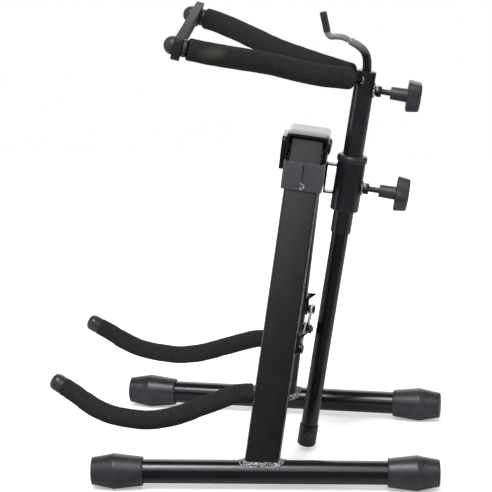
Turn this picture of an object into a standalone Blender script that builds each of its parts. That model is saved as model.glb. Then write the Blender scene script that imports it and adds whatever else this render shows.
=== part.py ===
"""Folding violin stand, modelled in metres with +Z up and the instrument side facing -Y.

Two rectangular tube legs hang on rivets in an inverted U bracket and swing out to an
A-frame.  A bent ring round both legs stops the spread.  Behind it a clamp sleeve carries
the yoke tube with its padded fork, and the bow tube with its hook slides inside that.
"""
import math

import bmesh
import bpy
from mathutils import Matrix, Vector

MM = 0.001

# Clearances
GAP = 0.3 * MM                  # between pieces that touch or are welded
RUNNING = 0.35 * MM             # all round a pin, screw or tube in its hole

# Stance
LEAN = math.radians(7.0)        # legs lean back from upright
SPLAY = math.radians(18.7)      # each leg swung out from upright
FOOT_Y = 15.6 * MM              # where leg and foot tube cross, behind the origin

# Legs
LEG_LENGTH = 304.0 * MM         # rivet to the axis of the foot tube
LEG_WIDTH = 31.8 * MM           # front to back
LEG_THICK = 15.9 * MM
LEG_WALL = 1.5 * MM
LEG_CORNER = 2.2 * MM
LEG_TOP = 6.5 * MM              # tube above the rivet
PIVOT_SPACING = 20.8 * MM
RIVET_RADIUS = 3.0 * MM
RIVET_DOME_RADIUS = 6.2 * MM
RIVET_DOME_HEIGHT = 2.2 * MM
RIVET_SINK_RADIUS = 5.6 * MM
RIVET_SINK_DEPTH = 2.4 * MM

# Foot tubes and their rubber caps
FOOT_RADIUS = 11.1 * MM
FOOT_WALL = 1.3 * MM
FOOT_FRONT = 156.3 * MM         # crossing to the front face of the cap
FOOT_BACK = 164.8 * MM
FOOT_TOE = math.radians(1.7)    # toed out more than the splay alone gives
CAP_LENGTH = 48.4 * MM
CAP_RADIUS = 16.4 * MM
CAP_WIDEST = 20.5 * MM          # from the outer face
CAP_BAND = 3.0 * MM
CAP_END_RADIUS = 12.9 * MM
CAP_MOUTH_RADIUS = 13.4 * MM
CAP_END_WALL = 7.0 * MM
CAP_DOME = 1.3 * MM
CAP_FLAT = 0.6 * MM             # worn flat where the cap stands
GROOVE_COUNT = 5
GROOVE_START = 2.6 * MM
GROOVE_PITCH = 2.7 * MM
GROOVE_WIDTH = 1.2 * MM
GROOVE_DEPTH = 0.55 * MM

# Head: bracket, ring and front plate
BRACKET_HALF_LENGTH = 24.0 * MM
BRACKET_RISE = 12.4 * MM        # rivet to the outer top face
BRACKET_SHEET = 2.5 * MM
BRACKET_PLAY = 1.1 * MM         # leg to bracket wall
BRACKET_BEND = 4.5 * MM
RING_HEIGHT = 26.5 * MM
RING_SHEET = 2.3 * MM
RING_PLAY = 0.9 * MM            # leg to ring, front and back
RING_BEND = 3.6 * MM
RING_TOP = 11.8 * MM            # below the rivet
SEAM_WIDTH = 0.8 * MM
SEAM_HOLE_RADIUS = 1.7 * MM
SEAM_HOLE_RISE = 4.6 * MM       # above the lower edge
PLATE_THICK = 3.9 * MM
PLATE_HALF_WIDTH = 19.5 * MM
PLATE_ABOVE = 7.4 * MM          # above the rivet
PLATE_BELOW = 24.0 * MM
PLATE_CORNER = 4.0 * MM

# Mast: sleeve, bushes and tubes, measured along the axis from a point inside the sleeve
MAST_LEAN = math.radians(8.4)
MAST_BACK = 41.9 * MM           # behind the rivets
MAST_DROP = 36.9 * MM           # below the rivets
YOKE_TURN = math.radians(2.0)   # the yoke stands turned a little in its sleeve
SLEEVE_RADIUS = 13.35 * MM
SLEEVE_WALL = 1.6 * MM
SLEEVE_TOP = 24.7 * MM
SLEEVE_BOTTOM = -21.0 * MM
HOLDER_TOP = 15.2 * MM          # below the rivets
HOLDER_HEIGHT = 28.2 * MM
HOLDER_WIDTH = 10.0 * MM
HOLDER_SHEET = 1.6 * MM
BUSH_SKIRT = 12.0 * MM
BUSH_HEAD_RADIUS = 14.3 * MM
BUSH_HEAD_HEIGHT = 7.4 * MM
BUSH_HEAD_ROUND = 3.0 * MM
LOWER_BUSH_LENGTH = 10.0 * MM
YOKE_TUBE_RADIUS = 9.5 * MM
YOKE_TUBE_WALL = 1.2 * MM
YOKE_TUBE_TOP = 112.0 * MM
YOKE_TUBE_BOTTOM = -43.0 * MM
BOW_TUBE_RADIUS = 7.95 * MM
BOW_TUBE_WALL = 1.2 * MM
BOW_TUBE_BOTTOM = -254.0 * MM
BOW_TUBE_SINK = 1.5 * MM        # top of the bow tube below the top of the yoke tube
PLUG_FLANGE = 1.6 * MM
PLUG_DEPTH = 12.0 * MM
END_CAP_RADIUS = 9.0 * MM
END_CAP_COVER = 17.0 * MM
END_CAP_WALL = 4.0 * MM
END_CAP_ROUND = 3.0 * MM
BUTTON_RADIUS = 3.9 * MM
BUTTON_HEIGHT = 1.1 * MM
BUTTON_RISE = 8.5 * MM          # above the end of the bow tube

# Lock knobs on M6 screws
SCREW_RADIUS = 3.0 * MM
NUT_FLATS = 10.0 * MM
NUT_THICK = 5.0 * MM
NUT_PILOT_RADIUS = 4.3 * MM
LOWER_SCREW_W = 2.4 * MM        # along the mast
LOWER_NUT_START = 14.7 * MM     # behind the mast axis
LOWER_HUB_START = 29.4 * MM
UPPER_SCREW_W = 95.0 * MM
UPPER_NUT_START = 11.5 * MM
UPPER_HUB_START = 25.2 * MM
HUB_LENGTH = 15.4 * MM
HUB_RADIUS = 6.0 * MM
HUB_ROOT_RADIUS = 6.6 * MM
KNOB_THICK = 12.2 * MM
KNOB_RADIUS = 15.2 * MM         # mean of lobe and hollow
KNOB_LOBE = 1.5 * MM
KNOB_LOBES = 4
KNOB_TAPER = 1.3 * MM
KNOB_ROUND = 1.2 * MM
LOWER_KNOB_PHASE = 0.0
UPPER_KNOB_PHASE = math.radians(45.0)

# Yoke fork: plan (across, forward) and rise, in the frame of the mast
YOKE_ROD_RADIUS = 3.5 * MM
YOKE_FOAM_RADIUS = 10.1 * MM
YOKE_PATH = (
    (4.2, 2.5, 104.5), (18.8, 21.9, 105.3), (30.5, 43.8, 106.7), (37.6, 65.7, 109.2),
    (44.9, 87.6, 112.4), (61.9, 109.5, 115.6), (78.4, 130.6, 118.6), (87.6, 145.5, 120.5),
)
YOKE_END_X = 90.5 * MM          # arm ends run straight forward here
YOKE_END_RISE = math.radians(5.4)
YOKE_END_START = 160.3 * MM
YOKE_END_W = 122.0 * MM
YOKE_LEFT_LIFT = 2.2 * MM       # the left arm is bent up a little
YOKE_FOAM_START = 13.5 * MM     # along the rod's centre line from inside the tube
COLLAR_RADIUS = 8.2 * MM
COLLAR_LENGTH = 4.6 * MM
STRAP_THICK = 7.5 * MM
STRAP_ABOVE = 8.4 * MM          # hole to the top edge
STRAP_BAR = 13.4 * MM           # height between the end lobes
STRAP_LOBE = 12.4 * MM          # hole to the bottom of a lobe
STRAP_LOBE_RADIUS = 10.5 * MM
STRAP_CORNER = 2.6 * MM
STRAP_TAB = 22.5 * MM           # pull tab past the left rod
STRAP_LIFT = 2.2 * MM           # left end sits high on its rod
STRAP_PLAY = 0.5 * MM
BALL_RADIUS = 8.6 * MM
BALL_LENGTH = 8.6 * MM
YOKE_ROD_GRIP = 4.5 * MM        # rod inside the ball

# Bow hook, in the mast plane: forward of the axis and up the mast, below and past its groove
HOOK_RADIUS = 4.4 * MM
HOOK_NECK_RADIUS = 3.5 * MM
HOOK_ARM_RADIUS = 3.2 * MM
HOOK_TIP_RADIUS = 3.7 * MM
HOOK_FLANGE_RADIUS = 5.6 * MM
HOOK_FLANGE_HEIGHT = 1.5 * MM
HOOK_GROOVE = 0.9 * MM
HOOK_GROOVE_DEPTH = 0.5 * MM
HOOK_RISE = (
    (0.0, 113.0), (0.3, 118.5), (4.3, 126.0), (12.6, 132.6), (20.6, 137.6),
)
HOOK_ARM = (
    (28.5, 140.2), (36.6, 138.6), (41.8, 142.6), (44.6, 150.5), (47.4, 158.4),
)
HOOK_TIP_LENGTH = 15.6 * MM
HOOK_TIP_ROUND = 1.1 * MM

# Support arms, in the plane of the leg: forward of the foot crossing and height above it
ARM_ROD_RADIUS = 3.5 * MM
ARM_FOAM_RADIUS = 8.8 * MM
ARM_FLARE = math.radians(2.0)
ARM_PATH = (
    (-3.0, 68.0), (10.0, 68.6), (24.0, 67.2), (40.0, 61.6), (56.0, 55.8), (72.0, 49.6), (88.0, 45.4),
    (103.0, 43.4), (118.0, 44.2), (133.0, 46.4), (147.0, 50.4), (160.0, 57.2), (172.0, 65.0),
)
ARM_END = (194.2, 78.2)         # straight from the last bend point to here
ARM_TIP_LENGTH = 12.0 * MM
ARM_TIP_RADIUS = 8.3 * MM
ARM_FOAM_START = 3.0 * MM       # in front of the leg

# Folding brace behind the legs
BRACE_DOWN = 187.0 * MM         # along the leg from the rivet
BRACE_INSET = 4.0 * MM          # pin to the middle of the leg
BRACE_SHEET = 2.0 * MM
BRACE_WIDTH = 12.0 * MM
BRACE_PIN_RADIUS = 2.5 * MM
BRACE_HEAD_RADIUS = 4.5 * MM
BRACE_HEAD_HEIGHT = 2.2 * MM
BRACE_NUT_FLATS = 8.0 * MM
BRACE_NUT_THICK = 3.2 * MM
BRACE_BOLT_END = 1.2 * MM       # past its nut
TAB_RISE = 14.0 * MM
TAB_HALF_WIDTH = 6.0 * MM
TAB_EAR_RADIUS = 6.5 * MM
GUSSET_DEPTH = 7.0 * MM

# Turns an outline drawn as (back, up) and extruded along Z so that the extrusion runs along X
SIDE_ON = Matrix(((0, 0, 1, 0), (1, 0, 0, 0), (0, 1, 0, 0), (0, 0, 0, 1)))

ROUND = 24                      # sides of the larger round pieces
SMALL = 12                      # sides of pins and screws
ROD_SIDES = 10
CUTTER_OVER = 2.0 * MM          # how far a cutter runs past what it cuts

# Worked out from the sizes above
FOOT_AXIS_HEIGHT = CAP_RADIUS - CAP_FLAT
UPRIGHT = LEG_LENGTH * math.cos(SPLAY)
HEAD = Vector((0, FOOT_Y + UPRIGHT * math.sin(LEAN), FOOT_AXIS_HEIGHT + UPRIGHT * math.cos(LEAN)))
WALL_INNER = LEG_WIDTH / 2 + BRACKET_PLAY
WALL_OUTER = WALL_INNER + BRACKET_SHEET
RING_INNER = LEG_WIDTH / 2 + RING_PLAY
RING_OUTER = RING_INNER + RING_SHEET
RING_BOTTOM = RING_TOP + RING_HEIGHT
RING_END = (PIVOT_SPACING / 2 + RING_BOTTOM * math.tan(SPLAY)
            + LEG_THICK / 2 / math.cos(SPLAY) + GAP)
SLEEVE_BORE = SLEEVE_RADIUS - SLEEVE_WALL
YOKE_BORE = YOKE_TUBE_RADIUS - YOKE_TUBE_WALL
BOW_TUBE_TOP = YOKE_TUBE_TOP - BOW_TUBE_SINK
STRAP_START = YOKE_END_START + COLLAR_LENGTH + GAP
BALL_START = STRAP_START + STRAP_THICK + GAP


def material(name, colour, roughness, metallic=0.0):
    mat = bpy.data.materials.new(name)
    mat.use_nodes = True
    shader = mat.node_tree.nodes["Principled BSDF"]
    shader.inputs["Base Color"].default_value = (*colour, 1.0)
    shader.inputs["Roughness"].default_value = roughness
    shader.inputs["Metallic"].default_value = metallic
    return mat


def clear_scene():
    for obj in list(bpy.data.objects):
        bpy.data.objects.remove(obj)


def empty(name, parent=None, location=(0, 0, 0), rotation=(0, 0, 0)):
    obj = bpy.data.objects.new(name, None)
    bpy.context.collection.objects.link(obj)
    obj.parent = parent
    obj.location = location
    obj.rotation_euler = rotation
    return obj


def piece(name, bm, parent, mat, location=(0, 0, 0), rotation=(0, 0, 0), sharp=35.0):
    """Turn a bmesh into a named object with its normals out and round parts shaded smooth."""
    bmesh.ops.remove_doubles(bm, verts=bm.verts, dist=0.000001)
    bmesh.ops.recalc_face_normals(bm, faces=bm.faces)
    mesh = bpy.data.meshes.new(name)
    bm.to_mesh(mesh)
    bm.free()
    mesh.shade_smooth()
    mesh.set_sharp_from_angle(angle=math.radians(sharp))
    if mat:
        mesh.materials.append(mat)
    obj = bpy.data.objects.new(name, mesh)
    bpy.context.collection.objects.link(obj)
    obj.parent = parent
    obj.location = location
    obj.rotation_euler = rotation
    return obj


def cut(target, name, bm, parent, location=(0, 0, 0), rotation=(0, 0, 0)):
    """Cut a hidden shape out of the target."""
    cutter = piece(name, bm, parent, None, location, rotation)
    cutter.hide_render = True
    cutter.display_type = "WIRE"
    mod = target.modifiers.new(name, "BOOLEAN")
    mod.operation = "DIFFERENCE"
    mod.solver = "EXACT"
    mod.object = cutter
    return cutter


def join_shape(target, name, bm, parent, location=(0, 0, 0), rotation=(0, 0, 0)):
    """Fuse a hidden shape onto the target."""
    cutter = cut(target, name, bm, parent, location, rotation)
    target.modifiers[name].operation = "UNION"
    return cutter


def link_rings(bm, rings, closed_round=True, closed_along=False):
    """Skin a list of vertex rings with quads."""
    count = len(rings[0])
    pairs = list(zip(rings, rings[1:]))
    if closed_along:
        pairs.append((rings[-1], rings[0]))
    for a, b in pairs:
        for i in range(count if closed_round else count - 1):
            j = (i + 1) % count
            bm.faces.new((a[i], a[j], b[j], b[i]))


def turned(profile, sides=ROUND, closed=False):
    """Revolve (radius, height) points round Z.  A closed profile gives a ring with a bore."""
    bm = bmesh.new()
    rings = []
    for radius, height in profile:
        ring = []
        for i in range(sides):
            a = 2 * math.pi * i / sides
            ring.append(bm.verts.new((radius * math.cos(a), radius * math.sin(a), height)))
        rings.append(ring)
    link_rings(bm, rings, closed_along=closed)
    if not closed:
        bm.faces.new(rings[0])
        bm.faces.new(rings[-1])
    return bm


def cylinder(radius, low, high, sides=SMALL):
    return turned([(radius, low), (radius, high)], sides)


def pipe(outer, inner, low, high, sides=ROUND, bevel=0.0):
    """Straight round tube with a small bevel on its outer edges."""
    profile = [(outer, low + bevel), (outer, high - bevel)]
    if bevel:
        profile += [(outer - bevel, high), (inner, high), (inner, low), (outer - bevel, low)]
    else:
        profile += [(inner, high), (inner, low)]
    return turned(profile, sides, closed=True)


def extruded(outline, low, high, hole=None):
    """Extrude an outline of (x, y) points along Z, with a matching inner outline as a hole."""
    bm = bmesh.new()
    if hole is None:
        rings = [[bm.verts.new((x, y, z)) for x, y in outline] for z in (low, high)]
        link_rings(bm, rings)
        bm.faces.new(rings[0])
        bm.faces.new(rings[1])
        return bm
    rings = []
    for points, z in ((outline, low), (outline, high), (hole, high), (hole, low)):
        rings.append([bm.verts.new((x, y, z)) for x, y in points])
    link_rings(bm, rings, closed_along=True)
    return bm


def rounded_rect(width, height, radius, steps=4):
    """Points of a rectangle centred on the origin with round corners."""
    points = []
    for quarter, (sx, sy) in enumerate(((1, 1), (-1, 1), (-1, -1), (1, -1))):
        cx = sx * (width / 2 - radius)
        cy = sy * (height / 2 - radius)
        for i in range(steps + 1):
            a = math.pi / 2 * (quarter + i / steps)
            points.append((cx + radius * math.cos(a), cy + radius * math.sin(a)))
    return points


def box(size, centre=(0, 0, 0)):
    bm = bmesh.new()
    bmesh.ops.create_cube(bm, size=1.0)
    bmesh.ops.scale(bm, vec=size, verts=bm.verts)
    bmesh.ops.translate(bm, vec=centre, verts=bm.verts)
    return bm


def smooth_path(points, per_span=2):
    """Catmull-Rom curve through 3-D points."""
    pts = [Vector(p) for p in points]
    ends = [pts[0] * 2 - pts[1]] + pts + [pts[-1] * 2 - pts[-2]]
    out = []
    for i in range(1, len(ends) - 2):
        p0, p1, p2, p3 = ends[i - 1:i + 3]
        for k in range(per_span):
            t = k / per_span
            out.append(0.5 * (2 * p1 + (p2 - p0) * t + (2 * p0 - 5 * p1 + 4 * p2 - p3) * t ** 2
                              + (3 * p1 - p0 - 3 * p2 + p3) * t ** 3))
    out.append(pts[-1])
    return out


def trim_path(path, start, end):
    """The part of a path between two lengths along it; a negative end counts from the far end."""
    lengths = [0.0]
    for a, b in zip(path, path[1:]):
        lengths.append(lengths[-1] + (b - a).length)
    if end <= 0:
        end += lengths[-1]

    def at(s):
        for i in range(len(path) - 1):
            if s <= lengths[i + 1] or i == len(path) - 2:
                t = (s - lengths[i]) / (lengths[i + 1] - lengths[i])
                return path[i].lerp(path[i + 1], t)

    margin = 0.0008
    inner = [p for p, s in zip(path, lengths) if start + margin < s < end - margin]
    return [at(start)] + inner + [at(end)]


def path_frames(path, side):
    """A normal and a binormal at each point, carried along from the side direction."""
    frames = []
    normal = Vector(side)
    for i in range(len(path)):
        before = path[max(i - 1, 0)]
        after = path[min(i + 1, len(path) - 1)]
        tangent = (after - before).normalized()
        normal = (normal - tangent * normal.dot(tangent)).normalized()
        frames.append((normal, tangent.cross(normal)))
    return frames


def swept(path, radii, sides=ROD_SIDES, bore=None, depth=None, side=(1, 0, 0)):
    """Round bar along a path; a hose with a bore radius; a cup when the bore stops at a depth."""
    if not isinstance(radii, (list, tuple)):
        radii = [radii] * len(path)
    bm = bmesh.new()
    frames = path_frames(path, side)

    def ring(point, frame, radius):
        verts = []
        for i in range(sides):
            a = 2 * math.pi * (i + 0.5) / sides
            offset = frame[0] * math.cos(a) + frame[1] * math.sin(a)
            verts.append(bm.verts.new(point + offset * radius))
        return verts

    outer = [ring(p, f, r) for p, f, r in zip(path, frames, radii)]
    if bore is None:
        link_rings(bm, outer)
        bm.faces.new(outer[0])
        bm.faces.new(outer[-1])
        return bm
    deep = len(path) if depth is None else depth
    inner = [ring(p, f, bore) for p, f in list(zip(path, frames))[:deep]]
    if depth is None:
        link_rings(bm, outer + inner[::-1], closed_along=True)
        return bm
    link_rings(bm, inner[::-1] + outer)
    bm.faces.new(inner[-1])
    bm.faces.new(outer[-1])
    return bm


def hexagon(flats):
    corner = flats / math.sqrt(3)
    return [(corner * math.cos(math.pi / 3 * i), corner * math.sin(math.pi / 3 * i)) for i in range(6)]


def make_materials():
    return {
        "painted": material("black_painted_steel", (0.018, 0.018, 0.020), 0.35, 0.0),
        "leg": material("black_leg_paint", (0.035, 0.036, 0.040), 0.42, 0.0),
        "zinc": material("dark_zinc_screw", (0.20, 0.19, 0.15), 0.38, 1.0),
        "foam": material("black_foam", (0.026, 0.026, 0.028), 0.95, 0.0),
        "rubber": material("grey_black_rubber", (0.045, 0.046, 0.051), 0.70, 0.0),
        "plastic": material("black_plastic", (0.032, 0.033, 0.038), 0.50, 0.0),
        "strap": material("grey_rubber_strap", (0.075, 0.077, 0.083), 0.65, 0.0),
    }


def make_top_bracket(head, mats):
    """Inverted U of sheet over the tops of both legs, open at its two ends."""
    half = WALL_OUTER
    top = BRACKET_RISE
    bottom = -RING_TOP + GAP
    outer = [(half, bottom)]
    inner = [(half - BRACKET_SHEET, bottom)]
    for sign, start in ((1, 0.0), (-1, math.pi / 2)):
        cx = sign * (half - BRACKET_BEND)
        for i in range(6):
            a = start + math.pi / 2 * i / 5
            outer.append((cx + BRACKET_BEND * math.cos(a), top - BRACKET_BEND + BRACKET_BEND * math.sin(a)))
            r = BRACKET_BEND - BRACKET_SHEET
            inner.append((cx + r * math.cos(a), top - BRACKET_BEND + r * math.sin(a)))
    outer.append((-half, bottom))
    inner.append((-half + BRACKET_SHEET, bottom))
    bm = extruded(outer + inner[::-1], -BRACKET_HALF_LENGTH, BRACKET_HALF_LENGTH)
    # The outline lies in the plane across the legs: x of the outline runs to the back.
    bmesh.ops.transform(bm, matrix=SIDE_ON, verts=bm.verts)
    bracket = piece("top_bracket", bm, head, mats["painted"])
    for side, x in (("right", PIVOT_SPACING / 2), ("left", -PIVOT_SPACING / 2)):
        hole = cylinder(RIVET_RADIUS + RUNNING, -half - CUTTER_OVER, half + CUTTER_OVER)
        cut(bracket, "bracket_hole_" + side, hole, head, (x, 0, 0), (math.radians(90), 0, 0))
    return bracket


def make_front_plate(head, mats):
    """Backing plate on the front of the bracket, countersunk for the rivets."""
    height = PLATE_ABOVE + PLATE_BELOW
    bm = extruded(rounded_rect(2 * PLATE_HALF_WIDTH, height, PLATE_CORNER), 0, PLATE_THICK)
    middle = (PLATE_ABOVE - PLATE_BELOW) / 2
    front = WALL_OUTER + GAP
    plate = piece("front_plate", bm, head, mats["painted"], (0, -front, middle), (math.radians(90), 0, 0))
    for side, x in (("right", PIVOT_SPACING / 2), ("left", -PIVOT_SPACING / 2)):
        sink = RIVET_SINK_RADIUS + RUNNING
        neck = RIVET_RADIUS + RUNNING
        floor = PLATE_THICK - RIVET_SINK_DEPTH
        over = PLATE_THICK + CUTTER_OVER
        hole = turned([(neck, -CUTTER_OVER), (neck, floor), (sink, PLATE_THICK), (sink, over)], SMALL)
        cut(plate, "plate_hole_" + side, hole, head, (x, -front, 0), (math.radians(90), 0, 0))


def make_rivet(head, mats, side, x):
    """Leg pivot: countersunk in the front plate, domed at the back of the bracket."""
    front = WALL_OUTER + GAP + PLATE_THICK
    back = WALL_OUTER + GAP
    profile = [(RIVET_SINK_RADIUS, front), (RIVET_RADIUS, front - RIVET_SINK_DEPTH), (RIVET_RADIUS, -back)]
    for width, height in ((1.0, 0.0), (0.96, 0.35), (0.72, 0.78), (0.3, 1.0)):
        profile.append((RIVET_DOME_RADIUS * width, -back - RIVET_DOME_HEIGHT * height))
    turn = (math.radians(90), 0, 0)
    piece(side + "_pivot_rivet", turned(profile, SMALL), head, mats["painted"], (x, 0, 0), turn)


def make_leg_ring(head, mats):
    """Strip bent to a rectangle round both legs; its ends meet in a seam on the right."""
    length = 2 * (RING_END + RING_SHEET)
    outer = rounded_rect(length, 2 * RING_OUTER, RING_BEND)
    inner = rounded_rect(2 * RING_END, 2 * RING_INNER, RING_BEND - RING_SHEET)
    ring = piece("leg_ring", extruded(outer, -RING_BOTTOM, -RING_TOP, inner), head, mats["painted"])
    wall_middle = RING_END + RING_SHEET / 2
    low = -RING_BOTTOM + SEAM_HOLE_RISE
    high = -RING_TOP + CUTTER_OVER
    slit = box((RING_SHEET + 2 * CUTTER_OVER, SEAM_WIDTH, high - low), (wall_middle, 0, (high + low) / 2))
    cut(ring, "ring_seam", slit, head)
    eye = cylinder(SEAM_HOLE_RADIUS, -RING_SHEET, RING_SHEET)
    cut(ring, "ring_seam_eye", eye, head, (wall_middle, 0, low), (0, math.radians(90), 0))


def make_leg(pivot, foot, mats, side):
    """Rectangular tube, drilled for its rivet and coped over the foot tube."""
    outer = rounded_rect(LEG_THICK, LEG_WIDTH, LEG_CORNER)
    inner = rounded_rect(LEG_THICK - 2 * LEG_WALL, LEG_WIDTH - 2 * LEG_WALL, LEG_CORNER - LEG_WALL)
    leg = piece(side + "_leg", extruded(outer, -LEG_LENGTH, LEG_TOP, inner), pivot, mats["leg"])
    reach = LEG_WIDTH / 2 + CUTTER_OVER
    hole = cylinder(RIVET_RADIUS + RUNNING, -reach, reach)
    cut(leg, side + "_leg_hole", hole, pivot, (0, 0, 0), (math.radians(90), 0, 0))
    cope = cylinder(FOOT_RADIUS + GAP, -LEG_WIDTH, LEG_WIDTH, ROUND)
    cut(leg, side + "_leg_cope", cope, foot, (0, 0, 0), (math.radians(90), 0, 0))


def make_foot(foot, mats, side):
    """Round tube laid across the bottom of the leg, with a moulded cap on each end."""
    front = -FOOT_FRONT + CAP_END_WALL + GAP
    back = FOOT_BACK - CAP_END_WALL - GAP
    bm = pipe(FOOT_RADIUS, FOOT_RADIUS - FOOT_WALL, front, back)
    piece(side + "_foot_tube", bm, foot, mats["painted"], rotation=(math.radians(-90), 0, 0))
    for end, y, turn in (("front", -FOOT_FRONT, -90), ("rear", FOOT_BACK, 90)):
        rotation = (math.radians(turn), 0, 0)
        cap = piece(f"{side}_{end}_cap", foot_cap(), foot, mats["rubber"], (0, y, 0), rotation)
        inward = -math.copysign(CAP_LENGTH / 2, y)
        slab = box((2 * CAP_RADIUS, CAP_LENGTH + 2 * CUTTER_OVER, CAP_RADIUS), (0, 0, -CAP_RADIUS / 2))
        cut(cap, f"{side}_{end}_flat", slab, foot, (0, y + inward, -FOOT_AXIS_HEIGHT))


def foot_cap():
    """Double cone with grip rings, its outer face at zero and its mouth up +Z."""
    profile = [(CAP_END_RADIUS * 0.5, -CAP_DOME * 0.85 + CAP_DOME), (CAP_END_RADIUS, CAP_DOME)]

    def cone(z):
        t = (z - CAP_DOME) / (CAP_WIDEST - CAP_DOME)
        return CAP_END_RADIUS + (CAP_RADIUS - CAP_END_RADIUS) * t

    for i in range(GROOVE_COUNT):
        z = GROOVE_START + i * GROOVE_PITCH
        profile.append((cone(z), z))
        profile.append((cone(z) - GROOVE_DEPTH, z + GROOVE_WIDTH / 2))
        profile.append((cone(z + GROOVE_WIDTH), z + GROOVE_WIDTH))
    bore = FOOT_RADIUS + GAP
    profile += [(CAP_RADIUS, CAP_WIDEST), (CAP_RADIUS, CAP_WIDEST + CAP_BAND)]
    profile += [(CAP_MOUTH_RADIUS, CAP_LENGTH), (bore, CAP_LENGTH), (bore, CAP_END_WALL)]
    profile.append((bore * 0.5, CAP_END_WALL))
    return turned(profile, 20)


def foot_frame(pivot, side, sign):
    """Level frame where the leg crosses its foot tube, turned to the foot's heading."""
    heading = math.atan(math.sin(LEAN) * math.tan(SPLAY)) + FOOT_TOE
    frame = empty(side + "_foot_frame", pivot)
    place = Vector((sign * (PIVOT_SPACING / 2 + LEG_LENGTH * math.sin(SPLAY)), FOOT_Y, FOOT_AXIS_HEIGHT))
    bpy.context.view_layer.update()
    frame.matrix_world = Matrix.Translation(place) @ Matrix.Rotation(sign * heading, 4, "Z")
    return frame


def arm_points(sign):
    """Centre line of a support arm, in the frame of the leg's pivot."""
    points = []
    for forward, height in ARM_PATH + (ARM_END,):
        y = -forward * MM
        z = height * MM
        # from level ground at the foot crossing into the leaning plane of the leg
        back = y * math.cos(LEAN) - z * math.sin(LEAN)
        up = (y * math.sin(LEAN) + z * math.cos(LEAN)) / math.cos(SPLAY)
        out = sign * math.tan(ARM_FLARE) * max(-back, 0.0)
        points.append((out, back, up - LEG_LENGTH))
    return points


def make_arm(pivot, mats, side, sign):
    """Bent rod welded to the front of the leg, with a foam sleeve and a rounded tip."""
    points = arm_points(sign)
    path = smooth_path(points[:-1]) + [Vector(points[-1])]
    leg_front = LEG_WIDTH / 2
    start = next(i for i, p in enumerate(path) if -p.y > leg_front + GAP)
    a, b = path[start - 1], path[start]
    t = (leg_front + GAP + a.y) / (a.y - b.y)
    weld = a.lerp(b, t)
    path = [weld, weld - Vector((0, 1 * MM, 0))] + [p for p in path[start:] if -p.y > leg_front + 3 * MM]
    body = trim_path(path, 0, -(ARM_TIP_LENGTH * 0.55))
    piece(side + "_arm_rod", swept(body, ARM_ROD_RADIUS, 8), pivot, mats["painted"])
    foam = trim_path(path, ARM_FOAM_START, -(ARM_TIP_LENGTH + GAP))
    bm = swept(foam, ARM_FOAM_RADIUS, ROD_SIDES, bore=ARM_ROD_RADIUS + 2 * GAP)
    piece(side + "_arm_foam", bm, pivot, mats["foam"], sharp=60)
    cup = trim_path(path, path_length(path) - ARM_TIP_LENGTH, 0)
    cup = [cup[0].lerp(cup[-1], t) for t in (0.0, 0.5, 0.72, 0.86, 0.95, 1.0)]
    radii = [ARM_TIP_RADIUS * f for f in (1.0, 1.0, 0.94, 0.78, 0.55, 0.3)]
    bm = swept(cup, radii, 16, bore=ARM_ROD_RADIUS + GAP, depth=2)
    piece(side + "_arm_tip", bm, pivot, mats["plastic"])


def make_brace_tab(pivot, mats, side, sign):
    """Ear on the back of the leg for the brace pin, with a small gusset."""
    back = LEG_WIDTH / 2 + GAP
    x = -sign * BRACE_INSET
    outline = []
    for i in range(9):
        a = math.pi + math.pi * i / 8
        outline.append((x + TAB_EAR_RADIUS * math.cos(a), TAB_EAR_RADIUS * math.sin(a)))
    outline += [(TAB_HALF_WIDTH + 0.5 * x, TAB_RISE), (-TAB_HALF_WIDTH + 0.5 * x, TAB_RISE)]
    bm = extruded(outline, -BRACE_SHEET, 0)
    place = (0, back, -BRACE_DOWN)
    tab = piece(side + "_brace_tab", bm, pivot, mats["painted"], place, (math.radians(90), 0, 0))
    edge = TAB_HALF_WIDTH - BRACE_SHEET
    low = BRACE_HEAD_RADIUS + 3 * GAP
    outline = [(0.0, TAB_RISE), (GUSSET_DEPTH, TAB_RISE), (BRACE_SHEET, low + 3 * MM), (0.0, low)]
    web = extruded([(d + BRACE_SHEET / 2, z) for d, z in outline], 0, BRACE_SHEET)
    bmesh.ops.transform(web, matrix=SIDE_ON, verts=web.verts)
    shift = edge + 0.5 * x if sign > 0 else -edge - BRACE_SHEET + 0.5 * x
    join_shape(tab, side + "_tab_gusset", web, pivot, (shift, back, -BRACE_DOWN))
    hole = cylinder(BRACE_PIN_RADIUS + RUNNING, -BRACE_SHEET, BRACE_SHEET * 2)
    cut(tab, side + "_tab_hole", hole, pivot, (x, back, -BRACE_DOWN), (math.radians(-90), 0, 0))


def link_layer(sign):
    """How far behind the middle of the leg a brace link's front face lies."""
    first = LEG_WIDTH / 2 + GAP + BRACE_SHEET + GAP
    return first if sign > 0 else first + BRACE_SHEET + GAP


def make_brace_pin(pivot, mats, side, sign):
    """Pin through tab and link, with its head at the back."""
    end = link_layer(sign) + BRACE_SHEET + GAP
    start = LEG_WIDTH / 2 + GAP
    profile = [
        (BRACE_PIN_RADIUS, start), (BRACE_PIN_RADIUS, end), (BRACE_HEAD_RADIUS, end),
        (BRACE_HEAD_RADIUS, end + BRACE_HEAD_HEIGHT * 0.5), (BRACE_HEAD_RADIUS * 0.6, end + BRACE_HEAD_HEIGHT),
    ]
    location = (-sign * BRACE_INSET, 0, -BRACE_DOWN)
    piece(side + "_brace_pin", turned(profile, SMALL), pivot, mats["zinc"], location, (math.radians(-90), 0, 0))
    if sign < 0:
        low = LEG_WIDTH / 2 + GAP + BRACE_SHEET + GAP
        washer = pipe(BRACE_HEAD_RADIUS, BRACE_PIN_RADIUS + RUNNING, low, low + BRACE_SHEET, SMALL)
        piece(side + "_brace_spacer", washer, pivot, mats["zinc"], location, (math.radians(-90), 0, 0))


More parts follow.
